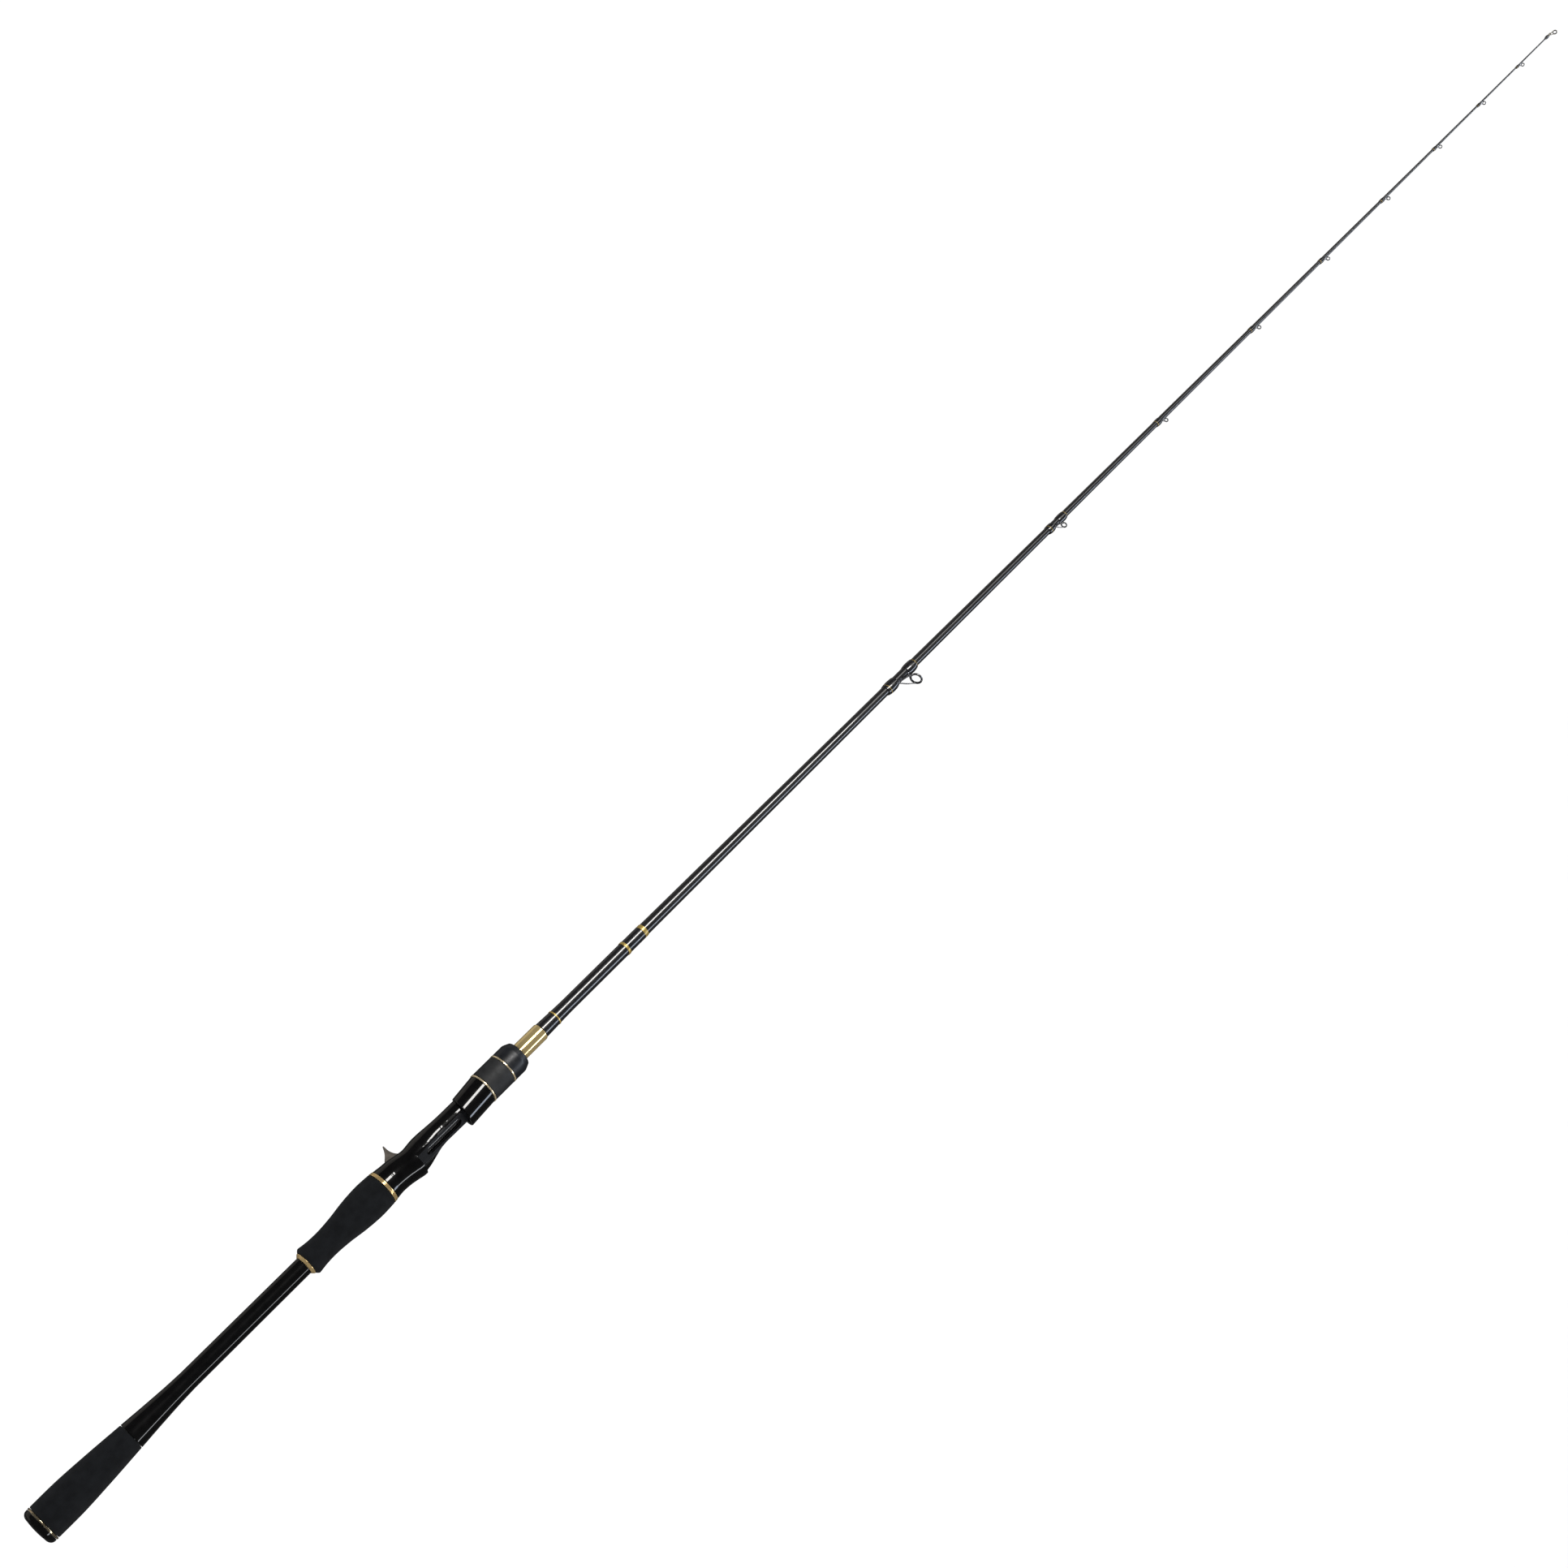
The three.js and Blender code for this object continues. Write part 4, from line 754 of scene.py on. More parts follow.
class ROD_OT_seat_ring(PieceOperator, bpy.types.Operator):
    """Makes the grooved gold ring at the rear of the reel seat"""

    bl_idname = "rod.seat_ring"
    bl_label = "Seat ring"

    GROOVE = 0.5
    STEP = 0.35

    def execute(self, context):
        x0, x1, r = span("seat_rear_ring")
        middle = (x0 + x1) / 2
        corners = [
            [x0, BORE_R],
            [x0, r],
            [middle - self.GROOVE, r],
            [middle - self.GROOVE / 2, r - self.GROOVE],
            [middle + self.GROOVE / 2, r - self.GROOVE],
            [middle + self.GROOVE, r - 0.1],
            [x1, r - self.STEP],
            [x1, BORE_R],
        ]
        gold = metal("gold_seat_ring", self.colours.gold, 0.12, 0.22)
        add_turned("seat_rear_ring", turned(rounded(corners, 0.22)), material=gold)
        return {"FINISHED"}


# ---------------------------------------------------------------- operators: seat, trigger, hood

# Height of the seat's outside above and below the axis, at distances from the fixed hood's mouth.
WAIST_R = BARREL_R - 1
BELLY_R = BARREL_R + 1
SEAT_OUTLINE = np.array([
    [-SEAT_REAR_LENGTH, SEAT_REAR_R, SEAT_REAR_R],
    [-0.77 * SEAT_REAR_LENGTH, SEAT_REAR_R - 0.6, SEAT_REAR_R - 0.8],
    [-0.5 * SEAT_REAR_LENGTH, SEAT_REAR_R, SEAT_REAR_R - 1.7],
    [-0.26 * SEAT_REAR_LENGTH, SEAT_TOP - 1.4, WAIST_R + 1.3],
    [-2.5, SEAT_TOP - 0.2, WAIST_R],
    [0, SEAT_TOP, WAIST_R + 0.1],
    [3.5, SEAT_TOP - 0.7, WAIST_R + 0.85],
    [7, SEAT_TOP - 1.7, BELLY_R - 0.5],
    [14, BARREL_R + 2.4, BELLY_R],
    [21, BARREL_R + 0.2, BELLY_R - 0.2],
    [26, BARREL_R - 0.3, BARREL_R + 0.5],
    [34, BARREL_R - 0.2, BARREL_R + 0.1],
    [BED_LENGTH - 2, BARREL_R, BARREL_R],
    [THREAD_X - THREAD_RELIEF - MOUTH_X, BARREL_R, BARREL_R],
])


def seat_radius(x, t, grow=0.0):
    """Half the sum of the heights above and below the axis, plus half their difference times the
    cosine of the angle from +Z; both heights flow along the seat."""
    at, top, bottom = SEAT_OUTLINE.T
    above, below = flowing(x - MOUTH_X, at, top), flowing(x - MOUTH_X, at, bottom)
    return (above + below) / 2 + grow + (above - below) / 2 * np.cos(t)


def thread_radius(x, t):
    """Thread root plus a round ridge: the ridge's middle climbs one pitch a turn, and its height
    at a distance from there is that of a circle."""
    behind = (x - THREAD_X + THREAD_PITCH * t / FULL_TURN) % THREAD_PITCH
    distance = np.minimum(behind, THREAD_PITCH - behind)
    ridge = np.sqrt(np.clip(RIDGE_R**2 - distance**2, 0, None))
    on = (x > THREAD_X - RIDGE_R) & (x < SEAT_END - 2.5)
    return THREAD_ROOT_R + np.where(on, ridge, 0)


def pocket_outline(grow=0.0):
    """A hood pocket across the rod: a flat floor and rounded upper corners."""
    w = POCKET_HALF_WIDTH + grow
    floor, roof = POCKET_FLOOR_Z - grow, POCKET_ROOF_Z + grow
    return rounded([[-w, floor], [w, floor], [w, roof], [-w, roof]], [0.6, 0.6, 3, 3], steps=9)


def saddle_patch(grow):
    """The strip of the seat's underside that the trigger's saddle covers: a slab between the
    seat's own surface and the same surface further in, with rounded ends and sides."""
    x0 = SEAT_START + 1.2 - grow
    x1 = MOUTH_X - 2.2 + grow
    side = 5.2 + grow
    x = np.linspace(x0, x1, 70)
    u = np.linspace(-1, 1, 29)
    end = np.minimum(x - x0, x1 - x)
    width = side - 1.2 * (1 - np.sqrt(1 - (1 - np.clip(end / 1.5, 0, 1)) ** 2))
    across = width[:, None] * u[None, :]
    layers = []
    for lift in (0.15 if grow == 0 else 1.5, -1.8 - grow):
        t = np.pi - across / 11.5
        r = seat_radius(x[:, None], t, lift)
        layers.append(np.stack((x[:, None] + 0 * across, r * np.sin(t), r * np.cos(t)), axis=-1))
    loops = np.concatenate((layers[0], layers[1][:, ::-1]), axis=1)
    first, last = loops[:1].mean(axis=1, keepdims=True), loops[-1:].mean(axis=1, keepdims=True)
    return shell(np.concatenate((first + 0 * loops[:1], loops, last + 0 * loops[-1:])), looped=False)


class ROD_OT_reel_seat(PieceOperator, bpy.types.Operator):
    """Makes the reel seat with its fixed hood, bed, blank window and threaded barrel"""

    bl_idname = "rod.reel_seat"
    bl_label = "Reel seat"

    SHOULDER_RISE = 1.9
    SHOULDER_LENGTH = 24
    CHANNEL_HALF_WIDTH = 7.3
    CHANNEL_DRAFT = 0.6
    WINDOW_HALF_WIDTH = 3.6
    POCKET_DEPTH = 7
    KEYWAY_HALF_WIDTH = 2.35
    KEYWAY_Z = BARREL_R - 1.3
    ARBOR_R = BORE_R + 1.35
    REAR_ARBOR_R = BORE_R + 1.95

    def cutters(self):
        high = SEAT_TOP + 10
        share = np.linspace(0, 1, 25)
        ramp = BED_Z + self.SHOULDER_RISE * (1 - share) ** 2 * (1 + 2 * share)
        shoulder = np.stack((MOUTH_X + self.SHOULDER_LENGTH * share, ramp), axis=-1)
        rest = [
            [BED_END_X, BED_Z],
            [BED_END_X + 0.3, POCKET_FLOOR_Z],
            [BARREL_X, POCKET_FLOOR_Z],
            [BARREL_X, high],
            [MOUTH_X, high],
        ]
        deck = prism(np.vstack((shoulder, rest)), "xz", -SEAT_TOP - 4, SEAT_TOP + 4)
        w = self.CHANNEL_HALF_WIDTH
        walls = [[-w, BED_Z], [w, BED_Z], [w + self.CHANNEL_DRAFT, high], [-w - self.CHANNEL_DRAFT, high]]
        channel = prism(rounded(walls, 0.8), "yz", MOUTH_X - 0.01, MOUTH_X + self.SHOULDER_LENGTH)
        pocket = prism(pocket_outline(), "yz", MOUTH_X - self.POCKET_DEPTH, MOUTH_X + 0.01)
        r = self.WINDOW_HALF_WIDTH
        a = np.linspace(-np.pi / 2, np.pi / 2, 17)
        front = np.stack((BED_END_X - 3 - r + r * np.cos(a), r * np.sin(a)), axis=-1)
        rear = np.stack((MOUTH_X + 9 + r - r * np.cos(a), -r * np.sin(a)), axis=-1)
        window = prism(np.vstack((front, rear)), "xy", BORE_R / 2, BED_Z + 2)
        k = self.KEYWAY_HALF_WIDTH
        key = [[-k, self.KEYWAY_Z], [k, self.KEYWAY_Z], [k, BARREL_R + 2], [-k, BARREL_R + 2]]
        keyway = prism(key, "yz", BARREL_X - 1, SEAT_END + 1)
        bore = turned([
            [SEAT_START - 1, 0],
            [SEAT_START - 1, self.REAR_ARBOR_R + FIT],
            [SEAT_START + 16 + FIT, self.REAR_ARBOR_R + FIT],
            [SEAT_START + 16 + FIT, BORE_R],
            [SEAT_END - 27 - FIT, BORE_R],
            [SEAT_END - 27 - FIT, self.ARBOR_R + FIT],
            [SEAT_END + 1, self.ARBOR_R + FIT],
            [SEAT_END + 1, 0],
        ])
        return [[cutter] for cutter in (deck, channel, pocket, window, keyway, bore, saddle_patch(0.15))]

    def execute(self, context):
        barrel_start = THREAD_X - THREAD_RELIEF
        x = np.concatenate((
            stations(SEAT_START, MOUTH_X, 46, 0.3)[:-6],
            [MOUTH_X],
            np.linspace(MOUTH_X + 0.6, barrel_start, 90),
        ))
        edge = np.where(x < SEAT_START + 1, eased(x, 0.3), 0)[:, None]
        rows = np.arange(len(x))
        body = loft(x, lambda place, t: seat_radius(place, t) - edge[rows])
        screw = loft(stations(barrel_start - 1, SEAT_END, 130, 0.3), thread_radius)
        mesh = combined("reel_seat", [body], joined=[[screw]], cutters=self.cutters())
        piece = add_piece("reel_seat_body", mesh, lacquer("gloss_black_seat", self.colours.lacquer), sharp=28)
        piece.data.materials.append(satin("seat_bed", self.colours.bed, 0.34, 0.46, 1700, 0.008))
        self.dull_the_bed(piece.data)
        return {"FINISHED"}

    def dull_the_bed(self, mesh):
        """Gives the second finish to the faces that look up from the floor of the cut deck."""
        count = len(mesh.polygons)
        middles, normals = np.empty(3 * count), np.empty(3 * count)
        mesh.polygons.foreach_get("center", middles)
        mesh.polygons.foreach_get("normal", normals)
        x, y, z = middles.reshape(-1, 3).T / MM
        bed = (x > MOUTH_X + 0.5) & (x < BARREL_X) & (np.abs(y) < self.CHANNEL_HALF_WIDTH)
        bed &= (normals[2::3] > 0.7) & (z < BED_Z + self.SHOULDER_RISE)
        mesh.polygons.foreach_set("material_index", bed.astype(np.int32))


class ROD_OT_trigger(PieceOperator, bpy.types.Operator):
    """Makes the finger trigger with its saddle under the seat"""

    bl_idname = "rod.trigger"
    bl_label = "Trigger"

    ROOT_Z = -(WAIST_R + 0.2)
    ROOT_WIDTH = 7.6
    TIP_WIDTH = 4.2
    TIP_SETBACK = 5.2
    SUNK = 1.4

    def horn(self):
        """At each height the horn is a rounded oval between its rear and front outlines."""
        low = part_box("trigger")[0].z / MM
        tip_x = MOUTH_X - self.TIP_SETBACK
        depth = self.ROOT_Z - low
        share = np.concatenate((np.linspace(-self.SUNK / depth, 0.96, 60), 1 - 0.04 * np.array(
            [0.85, 0.6, 0.4, 0.2, 0.08, 0.0])))
        places = (-0.1, 0.06, 0.3, 0.62, 0.97, 1.02)
        rear = tip_x + flowing(share, places, (-16, -13.6, -10, -4.7, -1.0, -0.6))
        front = tip_x + flowing(share, places, (6.2, 3.6, 1.0, -0.2, 0.2, 0.2))
        round_off = np.sqrt(np.clip(1 - np.clip((share - 0.94) / 0.06, 0, 1) ** 2, 0, 1))
        half_x = (front - rear) / 2 * np.maximum(round_off, 0.02)
        half_y = np.interp(share, (0, 1), (self.ROOT_WIDTH, self.TIP_WIDTH)) / 2 * np.maximum(round_off, 0.02)
        half_y += 1.2 * np.clip(1 - share / 0.16, 0, 1) ** 2
        t = np.arange(48) * FULL_TURN / 48
        u = np.sign(np.cos(t)) * np.abs(np.cos(t)) ** (2 / 2.4)
        v = np.sign(np.sin(t)) * np.abs(np.sin(t)) ** (2 / 2.4)
        middle = (front + rear) / 2
        points = np.stack((
            middle[:, None] + half_x[:, None] * u,
            half_y[:, None] * v,
            (self.ROOT_Z - share * depth)[:, None] + 0 * u,
        ), axis=-1)
        first, last = points[:1].mean(axis=1, keepdims=True), points[-1:].mean(axis=1, keepdims=True)
        return shell(np.concatenate((first + 0 * points[:1], points, last + 0 * points[-1:])), looped=False)

    def execute(self, context):
        x = np.linspace(SEAT_START - 1, MOUTH_X + 4, 60)
        core = loft(x, lambda place, t: seat_radius(place, t, -1.8))
        mesh = combined("trigger", [saddle_patch(0.0)], joined=[[self.horn()]], cutters=[[core]])
        look = satin("trigger_plastic", self.colours.trigger, 0.42, 0.56, 1300, 0.015)
        add_piece("trigger", mesh, look, sharp=40)
        return {"FINISHED"}


class ROD_OT_moving_hood(PieceOperator, bpy.types.Operator):
    """Makes the moving hood that the locking nut pushes over the reel foot"""

    bl_idname = "rod.moving_hood"
    bl_label = "Moving hood"

    SLANT = 3.5
    LIFT = 2.4
    FRONT_R = BAND_R - 0.25
    REAR_R = FRONT_R - 0.45
    BORE_R = BARREL_R + 0.75
    POCKET_DEPTH = 8
    SPIGOT_LENGTH = 8.8
    NUT_SEAT_R = BAND_R - 1.35
    GROOVE = (3.9, 5.7)
    LIP = 0.8

    def execute(self, context):
        x = stations(HOOD_START, HOOD_END, 50, 0.4)
        x = np.concatenate((HOOD_START + self.LIP * (1 - np.cos(np.linspace(0, np.pi / 2, 8))), x[x > HOOD_START + 1]))
        length = HOOD_END - HOOD_START
        drop = np.where(x < HOOD_START + length / 2, eased(x, self.LIP), eased(x, 0.4))[:, None]

        def radius(place, t):
            """The distance from the axis to a circle whose middle is lifted at the rear."""
            share = (place - HOOD_START) / length
            lift = self.LIFT * (1 - share)
            r = self.REAR_R + (self.FRONT_R - self.REAR_R) * share
            return lift * np.cos(t) + np.sqrt(r**2 - (lift * np.sin(t)) ** 2) - drop

        def slant(place, t):
            share = (place - HOOD_START) / length
            return (1 - share) * self.SLANT * (0.5 - 0.5 * np.cos(t))

        spigot = HOOD_END - self.SPIGOT_LENGTH
        groove = [spigot + edge for edge in self.GROOVE]
        bore = turned(rounded([
            [HOOD_START - 1, 0],
            [HOOD_START - 1, self.BORE_R],
            [spigot - FIT, self.BORE_R],
            [spigot - FIT, self.NUT_SEAT_R],
            [groove[0], self.NUT_SEAT_R],
            [groove[0], self.NUT_SEAT_R + 0.5],
            [groove[1], self.NUT_SEAT_R + 0.5],
            [groove[1], self.NUT_SEAT_R],
            [HOOD_END + 1, self.NUT_SEAT_R],
            [HOOD_END + 1, 0],
        ], 0))
        pocket = prism(pocket_outline(), "yz", HOOD_START - 1, HOOD_START + self.POCKET_DEPTH)
        mesh = combined("moving_hood", [loft(x, radius, slant)], cutters=[[bore], [pocket]])
        add_piece("moving_hood", mesh, lacquer("gloss_black_hood", self.colours.lacquer), sharp=28)
        return {"FINISHED"}


class ROD_OT_locking_nut(PieceOperator, bpy.types.Operator):
    """Makes the locking nut's band, rings and front cap"""

    bl_idname = "rod.locking_nut"
    bl_label = "Locking nut"

    SEAT_R = BAND_R - 1.35
    NOSE_R = BAND_R - 2.25
    CHAMFER = 5.2
    SKIRT = 7.2
    FACE = 2.2
    BORE_R = THREAD_ROOT_R + 1

    def execute(self, context):
        shades = self.colours
        for node in ("hood_trim_ring", "nut_trim_ring"):
            x0, x1, r = span(node)
            look = metal(f"pale_gold_{node}", shades.pale_gold)
            add_turned(node, ring(x0, x1, r, self.SEAT_R), material=look)
        x0, x1, r = span("foregrip_band")
        look = satin("foregrip_band", shades.band, 0.55, 0.66, 1900, 0.03, specular=0.3)
        add_turned("foregrip_band", ring(x0, x1, r, self.SEAT_R, edge=0.45), material=look)

        x0, x1, r = span("nut_front_cap")
        hole = span("collar_pipe")[2] + 0.55
        skirt = x0 + self.SKIRT + FIT
        corners = [
            [x0, self.SEAT_R],
            [x0, r],
            [x1 - self.CHAMFER, r],
            [x1, self.NOSE_R],
            [x1, hole],
            [x1 - self.FACE, hole],
            [x1 - self.FACE, self.BORE_R],
            [skirt, self.BORE_R],
            [skirt, self.SEAT_R],
        ]
        profile = rounded(corners, [0, 0.3, 0.9, 0.7, 0.4, 0, 0, 0, 0], steps=9)
        look = satin("cap_satin", shades.nut_cap, 0.34, 0.46, 1600, 0.008, specular=0.4)
        add_turned("nut_front_cap", turned(profile), material=look)
        return {"FINISHED"}


class ROD_OT_collar_pipe(PieceOperator, bpy.types.Operator):
    """Makes the polished pipe in front of the nut"""

    bl_idname = "rod.collar_pipe"
    bl_label = "Collar pipe"

    EDGE = 0.7

    def execute(self, context):
        x0, x1, r = span("collar_pipe")
        pipe = ring(x0, x1, r, BORE_R, edge=self.EDGE)
        add_turned("collar_pipe", pipe, material=drawn_metal(self.colours.pipe))
        return {"FINISHED"}


class ROD_OT_label_winding(PieceOperator, bpy.types.Operator):
    """Makes the long glossy winding with its shoulders and gold trims"""

    bl_idname = "rod.label_winding"
    bl_label = "Label winding"

    SHOULDER = 14.5
    WALL = 0.3
    STEP_SHARE = 0.35
    TRIM_WALL = 0.28

    def execute(self, context):
        x0, x1, rear_r = span("label_winding")
        inner = BLANK_R + FINE_FIT
        end_r = inner + self.WALL
        step_r = end_r + self.STEP_SHARE * (rear_r - end_r)
        x = stations(x0, x1, 120, 0.25)
        places = (x0, x0 + 0.8 * self.SHOULDER, x0 + self.SHOULDER, x0 + 2 * self.SHOULDER, x1)
        outside = np.interp(x, places, (rear_r, step_r + 0.18, step_r, end_r, end_r))
        body = tube(x, outside - eased(x, 0.25), inner)
        look = thread_epoxy("label_winding", self.colours.thread)
        add_turned("label_winding", body, material=look)
        for node in ("winding_trim_rear", "winding_trim_mid", "winding_trim_front"):
            x0, x1, r = span(node)
            gold = metal_thread(f"gold_{node}", self.colours.gold_thread)
            add_turned(node, ring(x0, x1, r, r - self.TRIM_WALL, edge=0.12), material=gold)
        return {"FINISHED"}


# ---------------------------------------------------------------- operators: guides

LEAN = np.radians(20)  # rings lean towards the tip
FOOT_LIFT = 0.12


class GuideShape:
    """Sizes of one kind of guide, in millimetres from its ring's place."""

    def __init__(self, ring_r, holder, hole_r, width, wire, foot_width, foot_height, epoxy=1.0):
        self.ring_r, self.holder, self.hole_r, self.width = ring_r, holder, hole_r, width
        self.wire, self.foot_width, self.foot_height = wire, foot_width, foot_height
        self.epoxy = epoxy  # how many times the small guides' wall the wrap has


LARGE = GuideShape(6, 0.9, 4.15, 1.7, 0.65, 2.8, 0.8, epoxy=2.3)
MIDDLE = GuideShape(3.15, 0.6, 1.85, 1.2, 0.45, 2.0, 0.6, epoxy=1.7)
SMALL = GuideShape(2.4, 0.5, 1.25, 0.9, 0.42, 1.4, 0.5)
TIP = GuideShape(3, 0.6, 1.6, 1.1, 0.5, 0, 0)
LARGE.feet = ((-25, -10.7), (14.5, 1.2))
MIDDLE.feet = ((-14.2, -5), (12.5, 0.9))
SMALL.feet = ((-10.5, -1.8),)


def leaned(points_faces, x, z):
    """Turns a ring drawn about the axis to its lean and lifts it to its place."""
    points, faces = points_faces
    a, b, c = points.T
    along = a * np.cos(LEAN) + c * np.sin(LEAN)
    up = c * np.cos(LEAN) - a * np.sin(LEAN)
    return np.stack((along + x, b, up + z), axis=-1), faces


def ring_place(node):
    low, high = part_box(node)
    return (low.x + high.x) / 2 / MM, (low.z + high.z) / 2 / MM


def holder_shell(shape, x, z):
    """The metal band that holds the ceramic ring: a flat hoop with rounded edges."""
    w = 0.42 * shape.width
    inner = shape.ring_r - shape.holder
    corners = [[-w, inner], [-w, shape.ring_r], [w, shape.ring_r], [w, inner]]
    sides = bpy.context.scene.rod_sizes.guide_sides
    return leaned(turned(rounded(corners, 0.35 * shape.holder), sides), x, z)


def insert_shell(shape, x, z):
    """The ceramic ring: its section is an oval that is fuller towards the hole."""
    outer = shape.ring_r - shape.holder - FINE_FIT
    middle, half = (outer + shape.hole_r) / 2, (outer - shape.hole_r) / 2
    t = np.arange(20) * FULL_TURN / 20
    section = np.stack((shape.width / 2 * np.sin(t), middle - half * np.cos(t)), axis=-1)
    return leaned(turned(section, bpy.context.scene.rod_sizes.guide_sides), x, z)


def on_holder(shape, x, z, degrees):
    """A point on the middle of the holder's band, at an angle from its top."""
    a = np.radians(degrees)
    r = shape.ring_r - shape.holder / 2
    up = r * np.cos(a)
    return np.array([x + up * np.sin(LEAN), r * np.sin(a), z + up * np.cos(LEAN)])


def foot_shell(shape, x, far, near):
    """A foot along the blank: thin and narrow at its far end, thick and wide at the ring's."""
    share = np.concatenate(([0, 0.01, 0.03], np.linspace(0.06, 0.97, 24), [0.99, 1.0]))
    end = np.sqrt(np.clip(1 - (1 - np.clip(share / 0.06, 0, 1)) ** 2, 0.02, 1))
    close = np.sqrt(np.clip(1 - np.clip((share - 0.94) / 0.06, 0, 1) ** 2, 0.02, 1))
    base = max(blank_radius(x + far), blank_radius(x + near)) + FOOT_LIFT
    tall = shape.foot_height * (0.35 + 0.65 * share**1.2) / 2
    wide = shape.foot_width / 2 * (0.62 + 0.38 * share)
    place = x + far + (near - far) * share
    path = np.stack((place, 0 * share, base + tall), axis=-1)
    return swept(path, wide * end * close, tall * end * close, squareness=2.6)


def leg_shell(points, wire, steps=18, flatness=0.8):
    """A leg from a foot to the holder, slightly thicker at its two ends."""
    path = bent(points, steps)
    share = np.linspace(-1, 1, steps)
    grow = 1 + 0.25 * share**4
    ends = np.sqrt(np.clip(1 - (np.abs(share) / 1.0) ** 24, 0.05, 1))
    return swept(path, wire * grow * ends, wire * flatness * grow * ends, sides=18)


def wrap_radius(x, t, x0, x1, base, bulge, wall, lift=0.0):
    """Blank radius, plus an epoxy wall that follows a power of a half sine between the wrap's ends,
    plus a bulge over the foot on the +Z side that swells smoothly from both ends."""
    share = np.clip((x - x0) / (x1 - x0), 0, 1)
    dome = np.sin(np.pi * share) ** 0.4
    swell = 0.35 + 0.65 * np.sin(np.pi * share) ** 0.5
    over = bulge * np.clip(np.cos(t), 0, None) ** 1.5 * swell
    return base + lift + wall * (0.08 + 1.05 * dome) + over


def wrap_shells(node, shape):
    """A wrap's outside and its bore, as one closed tube."""
    x0, x1, _ = span(node)
    base = blank_radius(x0) + 0.02
    bulge = FOOT_LIFT + shape.foot_height + FINE_FIT
    wall = shape.epoxy * bpy.context.scene.rod_sizes.wrap_wall / MM
    x = stations(x0, x1, 26, 0.5)[:, None]
    t = (np.arange(48) * FULL_TURN / 48)[None, :]
    r = wrap_radius(x, t, x0, x1, base, bulge, wall)
    outside = np.stack((x + 0 * t, r * np.sin(t), r * np.cos(t)), axis=-1)
    bore = blank_radius(x) - 0.05 + 0 * t
    inside = np.stack((x + 0 * t, bore * np.sin(t), bore * np.cos(t)), axis=-1)[::-1]
    return shell(np.concatenate((outside, inside)), looped=True)


def trim_band(node, shape, start, width):
    """A narrow coloured band of thread that stands just proud of a wrap's epoxy."""
    x0, x1, _ = span(node)
    bulge = FOOT_LIFT + shape.foot_height + FINE_FIT
    wall = shape.epoxy * bpy.context.scene.rod_sizes.wrap_wall / MM
    x = np.linspace(x0 + start, x0 + start + width, 7)[:, None]
    t = (np.arange(48) * FULL_TURN / 48)[None, :]
    lift = 0.05 * np.sin(np.linspace(0, np.pi, 7))[:, None] ** 0.5 - 0.01
    rows = []
    for depth in (lift, -0.1 + 0 * lift):
        r = wrap_radius(x, t, x0, x1, blank_radius(x0) + 0.02, bulge, wall, depth)
        rows.append(np.stack((x + 0 * t, r * np.sin(t), r * np.cos(t)), axis=-1))
    return shell(np.concatenate((rows[0], rows[1][::-1])), looped=True)


class GuideOperator(PieceOperator):
    """What the guides' operators share."""

    def add_ring(self, name, shape, frame_shells, frame_look, glaze):
        add_turned(f"{name}_frame", *frame_shells, material=frame_look, sharp=45)
        x, z = ring_place(f"{name}_ring")
        add_turned(f"{name}_ring", insert_shell(shape, x, z), material=glaze, sharp=60)

    def add_wrap(self, node, shape, epoxy, trim=None, at=0.4, width=0.8):
        add_turned(node, wrap_shells(node, shape), material=epoxy, sharp=60)
        if trim:
            band = mesh_of(f"{node}_trim", [trim_band(node, shape, at, width)])
            piece = add_piece(node, band, trim, sharp=60, stands_for=False, name=f"{node}_trim")

    def double_foot(self, shape, x, z):
        """Two legs rise from the rear foot to the holder's sides, one from the front foot."""
        (rear_far, rear_near), (front_far, front_near) = shape.feet
        shells = [
            holder_shell(shape, x, z),
            foot_shell(shape, x, rear_far, rear_near),
            foot_shell(shape, x, front_far, front_near),
        ]
        rear_z = blank_radius(x + rear_near) + FOOT_LIFT + shape.foot_height / 2
        front_z = blank_radius(x + front_near) + FOOT_LIFT + shape.foot_height / 2
        for side in (-1, 1):
            start = np.array([x + rear_near - shape.wire, side * 0.24 * shape.foot_width, rear_z])
            end = on_holder(shape, x, z, side * 105)
            middle = (start + end) / 2 + [0, side * 0.12 * shape.ring_r, 0]
            shells.append(leg_shell([start, middle, end], shape.wire))
        bottom = on_holder(shape, x, z, 180)
        landing = np.array([x + front_near + shape.wire, 0, front_z])
        middle = (bottom + landing) / 2 + [0.3 * shape.wire, 0, 0]
        shells.append(leg_shell([bottom, middle, landing], 1.15 * shape.wire))
        return shells

    def single_foot(self, shape, x, z):
        """Two short legs spread from the end of the foot to the holder's lower sides."""
        (far, near), = shape.feet
        foot_z = blank_radius(x + near) + FOOT_LIFT + shape.foot_height / 2
        shells = [holder_shell(shape, x, z), foot_shell(shape, x, far, near)]
        for side in (-1, 1):
            start = np.array([x + near - 1.5 * shape.wire, side * 0.22 * shape.foot_width, foot_z])
            end = on_holder(shape, x, z, side * 140)
            middle = (start + end) / 2 + [0.1, side * 0.1, 0.1]
            shells.append(leg_shell([start, middle, end], shape.wire))
        return shells


